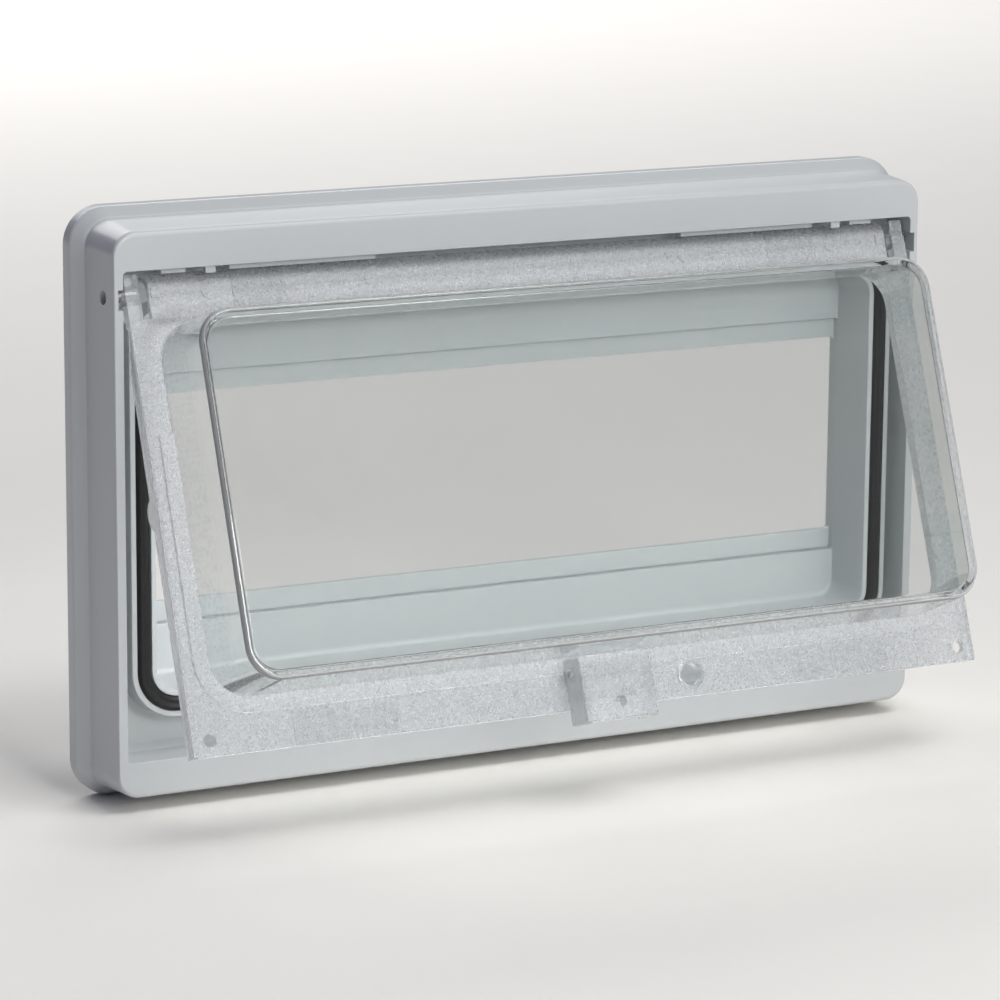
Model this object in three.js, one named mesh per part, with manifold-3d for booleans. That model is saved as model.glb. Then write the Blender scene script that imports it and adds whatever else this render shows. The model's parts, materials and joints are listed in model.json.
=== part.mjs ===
// Hinged inspection window for an enclosure panel: a moulded frame with a gasketed recess,
// a clear domed cover on two end pins, and a pull latch. Millimetres, X right, Z up,
// the front faces -Y, and the origin is the middle of the opening in the panel's plane.
import * as THREE from "three";
import { mergeVertices } from "three/addons/utils/BufferGeometryUtils.js";
import Module from "manifold-3d";

const wasm = await Module();
wasm.setup();

// ---- driving dimensions ----------------------------------------------------------------
const GAP = 0.3; // clearance kept between neighbouring pieces

const BODY_HALF_X = 125.0; // front outline of the frame
const BODY_HALF_Z = 77.1;
const BODY_RADIUS = 6.3;
const BODY_DEPTH = 25.5; // front face to panel plane
const FRONT_FILLET = 1.5;
const FLARE = 1.2; // the side walls lean outwards by this much
const FLARE_DEPTH = 17.0;
const SHOULDER_DEPTH = 20.5; // where the slope meets the rear flange
const FLANGE_LIP = 4.2; // the flange stands out from the front outline

const RECESS_HALF_X = 122.3; // pocket that the cover closes into
const RECESS_TOP = 66.6;
const RECESS_BOTTOM = -67.1;
const RECESS_DEPTH = 12.5;
const RECESS_RADIUS = 1.2;
const SKIRT_CHAMFER = 1.8; // slope along the foot of the recess
const WALL = 2.5; // moulded wall thickness

const RIB_FRONT = 4.8; // depth of both gasket ribs' front edges
const OUTER_RIB_HALF_X = 118.9;
const OUTER_RIB_HALF_Z = 56.9;
const OUTER_RIB_RADIUS = 13.4;
const RIB_THICKNESS = 1.6;
const GROOVE_WIDTH = 4.2;
const GROOVE_DEPTH = 8.0;
const GASKET_CROWN = 3.6; // depth of the gasket's crest

const TUNNEL_HALF_X = 111.55;
const TUNNEL_HALF_Z = 49.6;
const TUNNEL_RADIUS = 6.0;
const TUNNEL_DRAFT = 1.2;
const TUNNEL_WALL = 2.2;
const LEDGE_DEPTHS = [20.0, 22.0, 24.0]; // first step, second step, rear of the module mask
const LEDGE_HALF_Z = [34.64, 28.75];
const LEDGE_RADIUS = 5.0;

const HINGE_DEPTH = 6.5;
const HINGE_Z = 59.2;
const HINGE_HOLE = 1.95; // radius
const SNAP_NOTCH = { low: 56.4, high: 61.9, cut: 1.4, depth: 9.0 };
const POCKET = { x: 96.7, half: 3.5, depths: [6.2, 11.8] }; // core hole in the recess's upper wall
const STOP_TAB = { x: 97.1, half: 1.5, low: 64.8, depths: [0.4, 2.4] };
const STRIPS = [[47.5, 90.8], [103.2, 110.5]]; // raised strips under the upper band, on each side
const STRIP_LOW = 65.0;
const STRIP_DEPTH = 2.6;
const OPEN_ANGLE = THREE.MathUtils.degToRad(20.6); // pose in which the part is stored

// cover, in its own frame: origin on the hinge axis, drop = distance below it, rise = towards
// the front of it
const COVER_HALF_X = 121.1;
const COVER_DROP = 124.3;
const FLANGE_RISE = 5.2;
const FLANGE_THICKNESS = 2.0;
const SKIRT = 1.6; // side lips
const SKIRT_RISE = 0.5;
const SKIRT_START = [9.0, 22.0]; // drops between which the lips grow to their full depth
const NUB = { drop: 59.0, rise: 2.2, radius: 4.5 }; // half-round on the rear edge of each side lip
const BARREL_INNER = 3.5;
const DOME_HALF_X = 113.6;
const DOME_DROP = [8.6, 109.8];
const DOME_HEIGHT = 23.7;
const DOME_DRAFT = 1.6;
const DOME_RADIUS = 11.0;
const DOME_WALL = 2.2;
const DOME_EDGE = 3.0; // rounding of the dome's front edge
const STEP = { width: 4.2, height: 0.8 };
const CORNER_HOLE = { x: 116.0, drop: 119.9, radius: 1.8 };
const LOCK_HOLE = { x: 28.3, drop: 118.4, radius: 3.2, rim: 4.2 };
const EAR = { half: 2.1, slot: 2.4, front: 5.0, rear: 3.0, above: 4.7, below: 3.4 };
const LUG = { x: [111.2, 114.0], drop: [-0.8, 2.1], height: 0.5 }; // square mark at the barrel's ends
const HINGE_PIN = { radius: 1.65, bore: 2.05 };

const LATCH_HALF_X = 11.2;
const LATCH_DROP = [110.4, 128.8];
const LATCH_RISE = 16.0;
const LATCH_WALL = 2.1;
const LATCH_SLOT = { halfX: 6.6, drop: [117.4, 126.0] }; // open at the flange's lower edge
const PIVOT = { rise: 9.2, drop: 114.6, radius: 1.2, bore: 1.5, boss: 2.3 };
const KNUCKLE = { x: 8.0, half: 0.9, reach: 2.4, halfDrop: 2.2 }; // the cover's ears for the latch pin
const COIL = { halfX: 5.2, radius: 2.5 };
const HOOK = { halfX: 5.6, arm: [120.4, 122.6], tip: [-4.0, -1.5], crest: 118.8 };
const KEEPER = { halfX: 9.0, low: -60.6, depths: [5.0, 7.2], post: 2.0 };
const SEAL_HOLE = { drop: 123.8, radius: 1.7 };

const REAR_RIB = {
  x: [-104, -78, -52, -26, 0, 26, 52, 78, 104], z: [-30, 0, 30], half: 0.8, sunk: 1.2,
};
const PANEL_GROOVE = { outer: 1.3, inner: 4.7, depth: 2.4 }; // in from the flange's outline
const FIXINGS = [[-104, 63], [0, 63], [104, 63], [-104, -63], [0, -63], [104, -63]];
const BOSS_RADIUS = 5.2;
const INSERT = { radius: 3.0, bore: 2.3, length: 8.0, sink: 0.3 };
const SCREW = { radius: 2.0, head: 4.0, headHeight: 2.7, reach: 7.2 };
const WASHER = { radius: 4.5, bore: 2.3, thickness: 0.8 };
const PANEL_THICKNESS = 2.0;

// ---- materials -------------------------------------------------------------------------
const greyPlastic = { color: 0xc6cacb, roughness: 0.35, metalness: 0 };
const clearPlastic = { color: 0xe6ebec, roughness: 0.15, metalness: 0, transparent: true, opacity: 0.4 };
const rubber = { color: 0x1b1b1c, roughness: 0.7, metalness: 0 };
const brass = { color: 0xc2a15a, roughness: 0.35, metalness: 1 };
const steel = { color: 0xb9bcc0, roughness: 0.3, metalness: 1 };

// ---- helpers ---------------------------------------------------------------------------
const yAt = (depth) => depth - BODY_DEPTH;

/** Turn a closed three.js geometry into a solid that can be cut and joined. */
function solid(geometry) {
  const bare = geometry.clone();
  bare.deleteAttribute("normal");
  bare.deleteAttribute("uv");
  const merged = mergeVertices(bare, 1e-4);
  return new wasm.Manifold(new wasm.Mesh({
    numProp: 3,
    vertProperties: new Float32Array(merged.attributes.position.array),
    triVerts: new Uint32Array(merged.index.array),
  }));
}

/** Give a solid back as a named mesh. */
function piece(name, shape, look) {
  const raw = shape.getMesh();
  const geometry = new THREE.BufferGeometry();
  geometry.setAttribute("position", new THREE.BufferAttribute(new Float32Array(raw.vertProperties), 3));
  geometry.setIndex(new THREE.BufferAttribute(new Uint32Array(raw.triVerts), 1));
  geometry.computeVertexNormals();
  const mesh = new THREE.Mesh(geometry, new THREE.MeshStandardMaterial(look));
  mesh.name = name;
  return mesh;
}

const join = (shapes) => shapes.reduce((whole, next) => whole.add(next));
const cut = (shape, tools) => tools.reduce((whole, tool) => whole.subtract(tool), shape);

function box(x, y, z) {
  const geometry = new THREE.BoxGeometry(x[1] - x[0], y[1] - y[0], z[1] - z[0]);
  geometry.translate((x[0] + x[1]) / 2, (y[0] + y[1]) / 2, (z[0] + z[1]) / 2);
  return solid(geometry);
}

/** Corner points of a rounded rectangle in X and Z, anticlockwise as seen from the front. */
function roundedOutline({ halfX, halfZ, radius, midX = 0, midZ = 0 }, steps = 7) {
  const points = [];
  for (let corner = 0; corner < 4; corner += 1) {
    const sideX = corner === 0 || corner === 3 ? 1 : -1;
    const sideZ = corner < 2 ? 1 : -1;
    for (let step = 0; step <= steps; step += 1) {
      const angle = (corner + step / steps) * Math.PI / 2;
      points.push([
        midX + sideX * (halfX - radius) + radius * Math.cos(angle),
        midZ + sideZ * (halfZ - radius) + radius * Math.sin(angle),
      ]);
    }
  }
  return points;
}

/** A closed solid through rounded rectangles, listed from the rear (high Y) to the front. */
function loft(sections) {
  const rings = sections.map((section) => roundedOutline(section));
  const count = rings[0].length;
  const positions = [];
  const index = [];
  rings.forEach((ring, level) => {
    ring.forEach(([x, z]) => positions.push(x, sections[level].y, z));
  });
  for (let level = 0; level < rings.length - 1; level += 1) {
    for (let k = 0; k < count; k += 1) {
      const a = level * count + k;
      const b = level * count + (k + 1) % count;
      index.push(a, b, b + count, a, b + count, a + count);
    }
  }
  const last = (rings.length - 1) * count;
  for (let k = 1; k < count - 1; k += 1) {
    index.push(last, last + k, last + k + 1);
    index.push(0, k + 1, k);
  }
  const geometry = new THREE.BufferGeometry();
  geometry.setAttribute("position", new THREE.BufferAttribute(new Float32Array(positions), 3));
  geometry.setIndex(index);
  return solid(geometry);
}

/** A straight-sided rounded block between two Y values. */
function block(shape, yRear, yFront) {
  return loft([{ ...shape, y: yRear }, { ...shape, y: yFront }]);
}

/** A cylinder along X or Y. */
function rod(axis, radius, from, to, [a, b], segments = 20) {
  const geometry = new THREE.CylinderGeometry(radius, radius, to - from, segments);
  if (axis === "x") {
    geometry.rotateZ(Math.PI / 2);
    geometry.translate((from + to) / 2, a, b);
  } else {
    geometry.translate(a, (from + to) / 2, b);
  }
  return solid(geometry);
}

/** Extrude an outline of [y, z] points along X. */
function profileAlongX(points, x0, x1) {
  const shape = new THREE.Shape(points.map(([y, z]) => new THREE.Vector2(y, z)));
  const geometry = new THREE.ExtrudeGeometry(shape, { depth: x1 - x0, bevelEnabled: false });
  const basis = new THREE.Matrix4().makeBasis(
    new THREE.Vector3(0, 1, 0), new THREE.Vector3(0, 0, 1), new THREE.Vector3(1, 0, 0));
  geometry.applyMatrix4(basis);
  geometry.translate(x0, 0, 0);
  return solid(geometry);
}

const grown = (shape, by) => ({
  ...shape, halfX: shape.halfX + by, halfZ: shape.halfZ + by, radius: Math.max(shape.radius + by, 0.3),
});

// ---- outlines shared by several pieces -------------------------------------------------
const bodyOutline = { halfX: BODY_HALF_X, halfZ: BODY_HALF_Z, radius: BODY_RADIUS };
const flangeOutline = grown(bodyOutline, FLANGE_LIP);
const ribOutline = { halfX: OUTER_RIB_HALF_X, halfZ: OUTER_RIB_HALF_Z, radius: OUTER_RIB_RADIUS };
const grooveOuter = grown(ribOutline, -RIB_THICKNESS);
const grooveInner = grown(grooveOuter, -GROOVE_WIDTH);
const tunnelOutline = { halfX: TUNNEL_HALF_X, halfZ: TUNNEL_HALF_Z, radius: TUNNEL_RADIUS };
const cavityOutline = grown(bodyOutline, RECESS_HALF_X - BODY_HALF_X);
const panelGroove = {
  outer: grown(flangeOutline, -PANEL_GROOVE.outer), inner: grown(flangeOutline, -PANEL_GROOVE.inner),
};
const recessMid = (RECESS_TOP + RECESS_BOTTOM) / 2;

/** Two X or Z limits in rising order, mirrored to one side. */
function span(side, near, far) {
  return [side * near, side * far].sort((a, b) => a - b);
}

// ---- frame -----------------------------------------------------------------------------
function frameBody() {
  const sections = [
    { ...grown(flangeOutline, -0.4), y: yAt(BODY_DEPTH) },
    { ...flangeOutline, y: yAt(BODY_DEPTH - 0.4) },
    { ...flangeOutline, y: yAt(SHOULDER_DEPTH + 0.9) },
    { ...grown(flangeOutline, -0.5), y: yAt(SHOULDER_DEPTH) },
    { ...grown(bodyOutline, FLARE + 0.5), y: yAt(FLARE_DEPTH + 0.4) },
    { ...grown(bodyOutline, FLARE), y: yAt(FLARE_DEPTH) },
    { ...bodyOutline, y: yAt(FRONT_FILLET) },
  ];
  for (const share of [1 / 3, 2 / 3, 1]) {
    const angle = share * Math.PI / 2;
    sections.push({
      ...grown(bodyOutline, -FRONT_FILLET * (1 - Math.cos(angle))),
      y: yAt(FRONT_FILLET * (1 - Math.sin(angle))),
    });
  }
  return loft(sections);
}

function recess() {
  const shape = {
    halfX: RECESS_HALF_X, halfZ: (RECESS_TOP - RECESS_BOTTOM) / 2, radius: RECESS_RADIUS, midZ: recessMid,
  };
  const open = block(shape, yAt(RECESS_DEPTH), yAt(-1));
  const foot = profileAlongX([
    [yAt(RECESS_DEPTH - SKIRT_CHAMFER), RECESS_BOTTOM - 0.5],
    [yAt(RECESS_DEPTH + 0.5), RECESS_BOTTOM - 0.5],
    [yAt(RECESS_DEPTH + 0.5), RECESS_BOTTOM + SKIRT_CHAMFER],
    [yAt(RECESS_DEPTH), RECESS_BOTTOM + SKIRT_CHAMFER],
    [yAt(RECESS_DEPTH - SKIRT_CHAMFER), RECESS_BOTTOM],
  ], -RECESS_HALF_X - 1, RECESS_HALF_X + 1);
  const kept = block(ribOutline, yAt(RECESS_DEPTH + 1), yAt(RIB_FRONT));
  const groove = block(grooveOuter, yAt(GROOVE_DEPTH), yAt(RIB_FRONT - 1))
    .subtract(block(grooveInner, yAt(GROOVE_DEPTH + 1), yAt(RIB_FRONT - 2)));
  return cut(open, [foot, kept]).add(groove);
}

function tunnel() {
  const rear = grown(tunnelOutline, -TUNNEL_DRAFT);
  const mask = (halfZ) => ({ halfX: rear.halfX, halfZ, radius: 1.5 });
  const [first, second] = LEDGE_DEPTHS.map(yAt);
  return join([
    loft([{ ...rear, y: first }, { ...tunnelOutline, y: yAt(RIB_FRONT - 1) }]),
    block({ ...mask(LEDGE_HALF_Z[0]), radius: LEDGE_RADIUS }, second, first - 1),
    block(mask(LEDGE_HALF_Z[1]), yAt(BODY_DEPTH + 1), second - 1),
  ]);
}

/** The hollow behind the recess floor and the front bands, with ribs and bosses left standing. */
function rearHollow() {
  const floor = yAt(RECESS_DEPTH + WALL);
  const bandX = [-RECESS_HALF_X + WALL, RECESS_HALF_X - WALL];
  const bandY = [yAt(WALL + 0.5), floor + 1];
  const edge = cavityOutline.halfZ;
  const ribY = [yAt(WALL), yAt(BODY_DEPTH - REAR_RIB.sunk)];
  const hollow = join([
    block(cavityOutline, yAt(BODY_DEPTH + 1), floor),
    box(bandX, bandY, [RECESS_TOP + WALL, edge]),
    box(bandX, bandY, [-edge, RECESS_BOTTOM - WALL]),
  ]);
  const tunnelBlock = block(grown(tunnelOutline, TUNNEL_WALL), yAt(LEDGE_DEPTHS[2]), floor - 2);
  const standing = [tunnelBlock];
  for (const side of [-1, 1]) {
    for (const x of REAR_RIB.x) {
      const ribZ = span(side, TUNNEL_HALF_Z + 1, edge + 1);
      standing.push(box([x - REAR_RIB.half, x + REAR_RIB.half], ribY, ribZ));
    }
    for (const z of REAR_RIB.z) {
      const ribX = span(side, TUNNEL_HALF_X + 1, cavityOutline.halfX + 1);
      standing.push(box(ribX, [floor - 1, ribY[1]], [z - REAR_RIB.half, z + REAR_RIB.half]));
    }
  }
  for (const place of FIXINGS) {
    standing.push(rod("y", BOSS_RADIUS, floor - 1, 0, place, 24));
  }
  return cut(hollow, standing);
}

function keeper() {
  const upTo = [KEEPER.low, -OUTER_RIB_HALF_Z + 0.6];
  const bar = box([-KEEPER.halfX, KEEPER.halfX], KEEPER.depths.map(yAt), upTo);
  const posts = [-1, 1].map((side) => box(
    span(side, KEEPER.halfX, KEEPER.halfX - KEEPER.post),
    [yAt(KEEPER.depths[0]), yAt(RECESS_DEPTH + 0.5)],
    upTo,
  ));
  return join([bar, ...posts]);
}

/** Small raised features under the upper band: stop tabs and sealing strips, on both sides. */
function upperDetails() {
  const details = [];
  for (const side of [-1, 1]) {
    const mid = side * STOP_TAB.x;
    details.push(box([mid - STOP_TAB.half, mid + STOP_TAB.half],
      STOP_TAB.depths.map(yAt), [STOP_TAB.low, RECESS_TOP + 0.5]));
    for (const [near, far] of STRIPS) {
      details.push(box(span(side, near, far),
        [yAt(STRIP_DEPTH), yAt(RECESS_DEPTH + 0.5)], [STRIP_LOW, RECESS_TOP + 0.5]));
    }
  }
  return details;
}

function baseFrame() {
  const tools = [recess(), tunnel(), rearHollow()];
  const grooveFloor = yAt(BODY_DEPTH - PANEL_GROOVE.depth);
  tools.push(block(panelGroove.outer, 1, grooveFloor)
    .subtract(block(panelGroove.inner, 2, grooveFloor - 1)));
  for (const side of [-1, 1]) {
    const rim = span(side, RECESS_HALF_X - 1, RECESS_HALF_X + SNAP_NOTCH.cut);
    tools.push(box(rim, [yAt(-1), yAt(SNAP_NOTCH.depth)], [SNAP_NOTCH.low, SNAP_NOTCH.high]));
    const bore = span(side, RECESS_HALF_X - 2, BODY_HALF_X + 3);
    tools.push(rod("x", HINGE_HOLE, bore[0], bore[1], [yAt(HINGE_DEPTH), HINGE_Z], 20));
    const mid = side * POCKET.x;
    tools.push(box([mid - POCKET.half, mid + POCKET.half],
      POCKET.depths.map(yAt), [RECESS_TOP - 1, RECESS_TOP + WALL + 1]));
  }
  for (const place of FIXINGS) {
    tools.push(rod("y", INSERT.radius + GAP, yAt(BODY_DEPTH - INSERT.length - 1.2), 1, place, 20));
  }
  return piece("base_frame", join([cut(frameBody(), tools), keeper(), ...upperDetails()]), greyPlastic);
}

// ---- seals -----------------------------------------------------------------------------
function coverGasket() {
  const outer = grown(grooveOuter, -GAP);
  const inner = grown(grooveInner, GAP);
  const crown = 1.1;
  const ring = loft([
    { ...outer, y: yAt(GROOVE_DEPTH - GAP) },
    { ...outer, y: yAt(GASKET_CROWN + crown) },
    { ...grown(outer, -crown * 0.45), y: yAt(GASKET_CROWN + 0.2) },
    { ...grown(outer, -crown), y: yAt(GASKET_CROWN) },
  ]);
  const hole = loft([
    { ...inner, y: yAt(GROOVE_DEPTH) },
    { ...inner, y: yAt(GASKET_CROWN + crown) },
    { ...grown(inner, crown * 0.45), y: yAt(GASKET_CROWN + 0.2) },
    { ...grown(inner, crown), y: yAt(GASKET_CROWN - 0.01) },
  ]);
  return piece("cover_gasket", ring.subtract(hole), rubber);
}

function panelGasket() {
  const floor = yAt(BODY_DEPTH - PANEL_GROOVE.depth + GAP);
  const ring = block(grown(panelGroove.outer, -GAP), yAt(BODY_DEPTH - 0.1), floor)
    .subtract(block(grown(panelGroove.inner, GAP), yAt(BODY_DEPTH + 1), floor - 1));
  return piece("panel_gasket", ring, rubber);
}

// ---- fixings behind the frame ----------------------------------------------------------
function fixings() {
  const meshes = [];
  FIXINGS.forEach((place, k) => {
    const top = -INSERT.sink;
    const insert = rod("y", INSERT.radius, top - INSERT.length, top, place, 20)
      .subtract(rod("y", INSERT.bore, top - INSERT.length - 1, top + 1, place, 16));
    meshes.push(piece(`threaded_insert_${k + 1}`, insert, brass));
    const seat = PANEL_THICKNESS;
    const washer = rod("y", WASHER.radius, seat, seat + WASHER.thickness, place, 24)
      .subtract(rod("y", WASHER.bore, seat - 1, seat + WASHER.thickness + 1, place, 16));
    meshes.push(piece(`fixing_washer_${k + 1}`, washer, steel));
    const under = seat + WASHER.thickness + 0.1;
    const screw = rod("y", SCREW.radius, -SCREW.reach, under + 0.5, place, 16)
      .add(rod("y", SCREW.head, under, under + SCREW.headHeight, place, 24));
    meshes.push(piece(`fixing_screw_${k + 1}`, screw, steel));
  });
  return meshes;
}

// ---- cover, around the hinge axis ------------------------------------------------------
/** Rounded block given by half width and a range of drops, between two rises. */
function coverBlock(halfX, drops, radius, riseRear, riseFront, midX = 0) {
  const halfZ = (drops[1] - drops[0]) / 2;
  return block({ halfX, halfZ, radius, midX, midZ: -(drops[0] + drops[1]) / 2 }, -riseRear, -riseFront);
}

function domeSections(inset, riseRear, riseFront, draftTop) {
  const mid = -(DOME_DROP[0] + DOME_DROP[1]) / 2;
  const base = {
    halfX: DOME_HALF_X, halfZ: (DOME_DROP[1] - DOME_DROP[0]) / 2, radius: DOME_RADIUS, midZ: mid,
  };
  const edge = DOME_EDGE - inset * 0.7; // the inner edge is rounded less than the outer one
  const sections = [{ ...grown(base, -inset), y: -riseRear }];
  for (const share of [0, 1 / 3, 2 / 3, 1]) {
    const angle = share * Math.PI / 2;
    sections.push({
      ...grown(base, -inset - draftTop - edge * (1 - Math.cos(angle))),
      y: -(riseFront - edge + edge * Math.sin(angle)),
    });
  }
  return sections;
}

/** The half-round hinge barrel along the top, open at the back. */
function barrel(x0, x1, outer, inner) {
  const points = [];
  const arc = (radius, from, to, steps) => {
    for (let k = 0; k <= steps; k += 1) {
      const angle = from + (to - from) * (k / steps);
      points.push([-radius * Math.cos(angle), radius * Math.sin(angle)]);
    }
  };
  const back = THREE.MathUtils.degToRad(100);
  const front = THREE.MathUtils.degToRad(-20);
  arc(outer, back, front, 10);
  points.push([-FLANGE_RISE, -DOME_DROP[0] - 1.5]);
  points.push([-FLANGE_RISE + FLANGE_THICKNESS, -DOME_DROP[0] - 1.5]);
  arc(inner, front, back, 8);
  return profileAlongX(points, x0, x1);
}

/** The tapered lip along one side of the cover, with the rounded nub on its rear edge. */
function sideLip(lipX) {
  const front = -FLANGE_RISE + 0.4;
  const lip = profileAlongX([
    [front, -COVER_DROP],
    [-SKIRT_RISE, -COVER_DROP],
    [-SKIRT_RISE, -SKIRT_START[1]],
    [-FLANGE_RISE + FLANGE_THICKNESS, -SKIRT_START[0]],
    [front, -SKIRT_START[0]],
  ], ...lipX);
  const points = [[front, -NUB.drop + NUB.radius], [front, -NUB.drop - NUB.radius]];
  for (let k = 0; k <= 12; k += 1) {
    const angle = Math.PI * (k / 12 - 0.5);
    points.push([-NUB.rise + NUB.radius * Math.cos(angle), -NUB.drop + NUB.radius * Math.sin(angle)]);
  }
  return [lip, profileAlongX(points, ...lipX)];
}

function coverShell() {
  const barrelEnd = COVER_HALF_X - 2 * EAR.half - EAR.slot;
  const flangeRear = FLANGE_RISE - FLANGE_THICKNESS;
  const solids = [
    coverBlock(COVER_HALF_X, [DOME_DROP[0] - 1, COVER_DROP], 0.8, flangeRear, FLANGE_RISE),
    barrel(-barrelEnd, barrelEnd, FLANGE_RISE, BARREL_INNER),
    loft(domeSections(0, flangeRear, FLANGE_RISE + DOME_HEIGHT, DOME_DRAFT)),
    coverBlock(DOME_HALF_X + STEP.width, [DOME_DROP[0] + 30, DOME_DROP[1] + STEP.width - 0.8],
      DOME_RADIUS + STEP.width, flangeRear + 0.5, FLANGE_RISE + STEP.height),
  ];
  for (const side of [-1, 1]) {
    solids.push(...sideLip(span(side, COVER_HALF_X, COVER_HALF_X - SKIRT)));
    const ear = span(side, COVER_HALF_X, COVER_HALF_X - 2 * EAR.half);
    solids.push(box(ear, [-EAR.front, EAR.rear], [-EAR.below, EAR.above]));
    solids.push(box(ear, [-FLANGE_RISE, -FLANGE_RISE + FLANGE_THICKNESS + 1.2], [-DOME_DROP[0] - 1, 0]));
    solids.push(box(span(side, KNUCKLE.x - KNUCKLE.half, KNUCKLE.x + KNUCKLE.half),
      [-PIVOT.rise - KNUCKLE.reach, -FLANGE_RISE + 0.5],
      [-PIVOT.drop - KNUCKLE.halfDrop, -PIVOT.drop + KNUCKLE.halfDrop]));
    solids.push(box(span(side, LUG.x[0], LUG.x[1]), [-FLANGE_RISE - LUG.height, -BARREL_INNER - 0.5],
      [-LUG.drop[1], -LUG.drop[0]]));
  }
  const lock = [LOCK_HOLE.x, -LOCK_HOLE.drop];
  solids.push(rod("y", LOCK_HOLE.rim, -FLANGE_RISE - 0.9, -FLANGE_RISE + 0.5, lock, 28));
  const tools = [
    loft(domeSections(DOME_WALL, flangeRear - 1, FLANGE_RISE + DOME_HEIGHT - DOME_WALL, DOME_DRAFT)),
    rod("y", LOCK_HOLE.radius, -FLANGE_RISE - 3, -flangeRear + 3, lock, 28),
    coverBlock(LATCH_SLOT.halfX, LATCH_SLOT.drop, 0.6, flangeRear - 2, FLANGE_RISE + 3),
    rod("x", PIVOT.bore, -10, 10, [-PIVOT.rise, -PIVOT.drop], 16),
  ];
  for (const side of [-1, 1]) {
    tools.push(rod("y", CORNER_HOLE.radius, -FLANGE_RISE - 3, -flangeRear + 3,
      [side * CORNER_HOLE.x, -CORNER_HOLE.drop], 20));
    const bore = span(side, COVER_HALF_X + 1, COVER_HALF_X - 2 * EAR.half - 1);
    tools.push(rod("x", HINGE_PIN.bore, bore[0], bore[1], [0, 0], 20));
  }
  return piece("cover_shell", cut(join(solids), tools), clearPlastic);
}

function hingePin(name, side) {
  const [low, high] = span(side, COVER_HALF_X - 2 * EAR.half + 0.2, BODY_HALF_X - 0.6);
  return piece(name, rod("x", HINGE_PIN.radius, low, high, [0, 0], 20), steel);
}

// ---- latch, around its own pivot -------------------------------------------------------
/** Latch solids are drawn in the cover's frame and then moved onto the pivot. */
function latchLever() {
  const [top, bottom] = LATCH_DROP;
  const shell = coverBlock(LATCH_HALF_X, LATCH_DROP, 1.2, FLANGE_RISE + 1.0, LATCH_RISE);
  const inside = coverBlock(LATCH_HALF_X - LATCH_WALL, [top + 1.2, bottom + 4], 0.5,
    FLANGE_RISE - 1, LATCH_RISE - LATCH_WALL);
  const overBand = coverBlock(LATCH_HALF_X + 1, [COVER_DROP + 0.3, bottom + 1], 0.3, 0, HINGE_DEPTH + 0.7);
  const overStep = coverBlock(LATCH_HALF_X + 1, [top - 1, DOME_DROP[1] + STEP.width], 0.3,
    0, FLANGE_RISE + STEP.height + 1.2);
  const armSpan = [-HOOK.halfX, HOOK.halfX];
  const arm = box(armSpan, [-LATCH_RISE + 1, -HOOK.tip[0]], [-HOOK.arm[1], -HOOK.arm[0]]);
  const barb = profileAlongX([
    [-HOOK.tip[1], -HOOK.arm[0] - 0.5],
    [-HOOK.tip[0], -HOOK.arm[0] - 0.5],
    [-HOOK.tip[0], -HOOK.arm[0] + 0.2],
    [-HOOK.tip[1], -HOOK.crest],
  ], ...armSpan);
  const bosses = [-1, 1].map((side) => {
    const [low, high] = span(side, LATCH_HALF_X, LATCH_HALF_X - LATCH_WALL);
    return rod("x", PIVOT.boss, low, high, [-PIVOT.rise, -PIVOT.drop], 20);
  });
  const lever = cut(join([cut(shell, [inside, overBand, overStep]), arm, barb, ...bosses]), [
    rod("x", PIVOT.bore, -20, 20, [-PIVOT.rise, -PIVOT.drop], 16),
    rod("y", SEAL_HOLE.radius, -LATCH_RISE - 1, -LATCH_RISE + 3, [0, -SEAL_HOLE.drop], 20),
  ]);
  return piece("latch_lever", lever.translate([0, PIVOT.rise, PIVOT.drop]), clearPlastic);
}

function latchPin() {
  const reach = LATCH_HALF_X - GAP;
  return piece("latch_pin", rod("x", PIVOT.radius, -reach, reach, [0, 0], 16), steel);
}

function latchSpring() {
  const { halfX, radius } = COIL;
  const coil = rod("x", radius, -halfX, halfX, [0, 0], 20)
    .subtract(rod("x", PIVOT.bore, -halfX - 1, halfX + 1, [0, 0], 16));
  return piece("latch_spring", coil, steel);
}

// ---- assembly --------------------------------------------------------------------------
const latch = new THREE.Group();
latch.position.set(0, -PIVOT.rise, -PIVOT.drop);
latch.add(latchLever(), latchPin(), latchSpring());

const cover = new THREE.Group();
cover.position.set(0, yAt(HINGE_DEPTH), HINGE_Z);
cover.rotation.x = -OPEN_ANGLE;
cover.add(coverShell(), hingePin("hinge_pin_left", -1), hingePin("hinge_pin_right", 1), latch);

const part = new THREE.Group();
part.add(baseFrame(), coverGasket(), panelGasket(), cover, ...fixings());

export default part;
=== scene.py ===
"""Visible pieces and finishes of a hinged inspection window for an enclosure panel."""

import json
import math
from typing import NamedTuple

import bmesh
import bpy
from mathutils import Matrix, Vector


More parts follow.
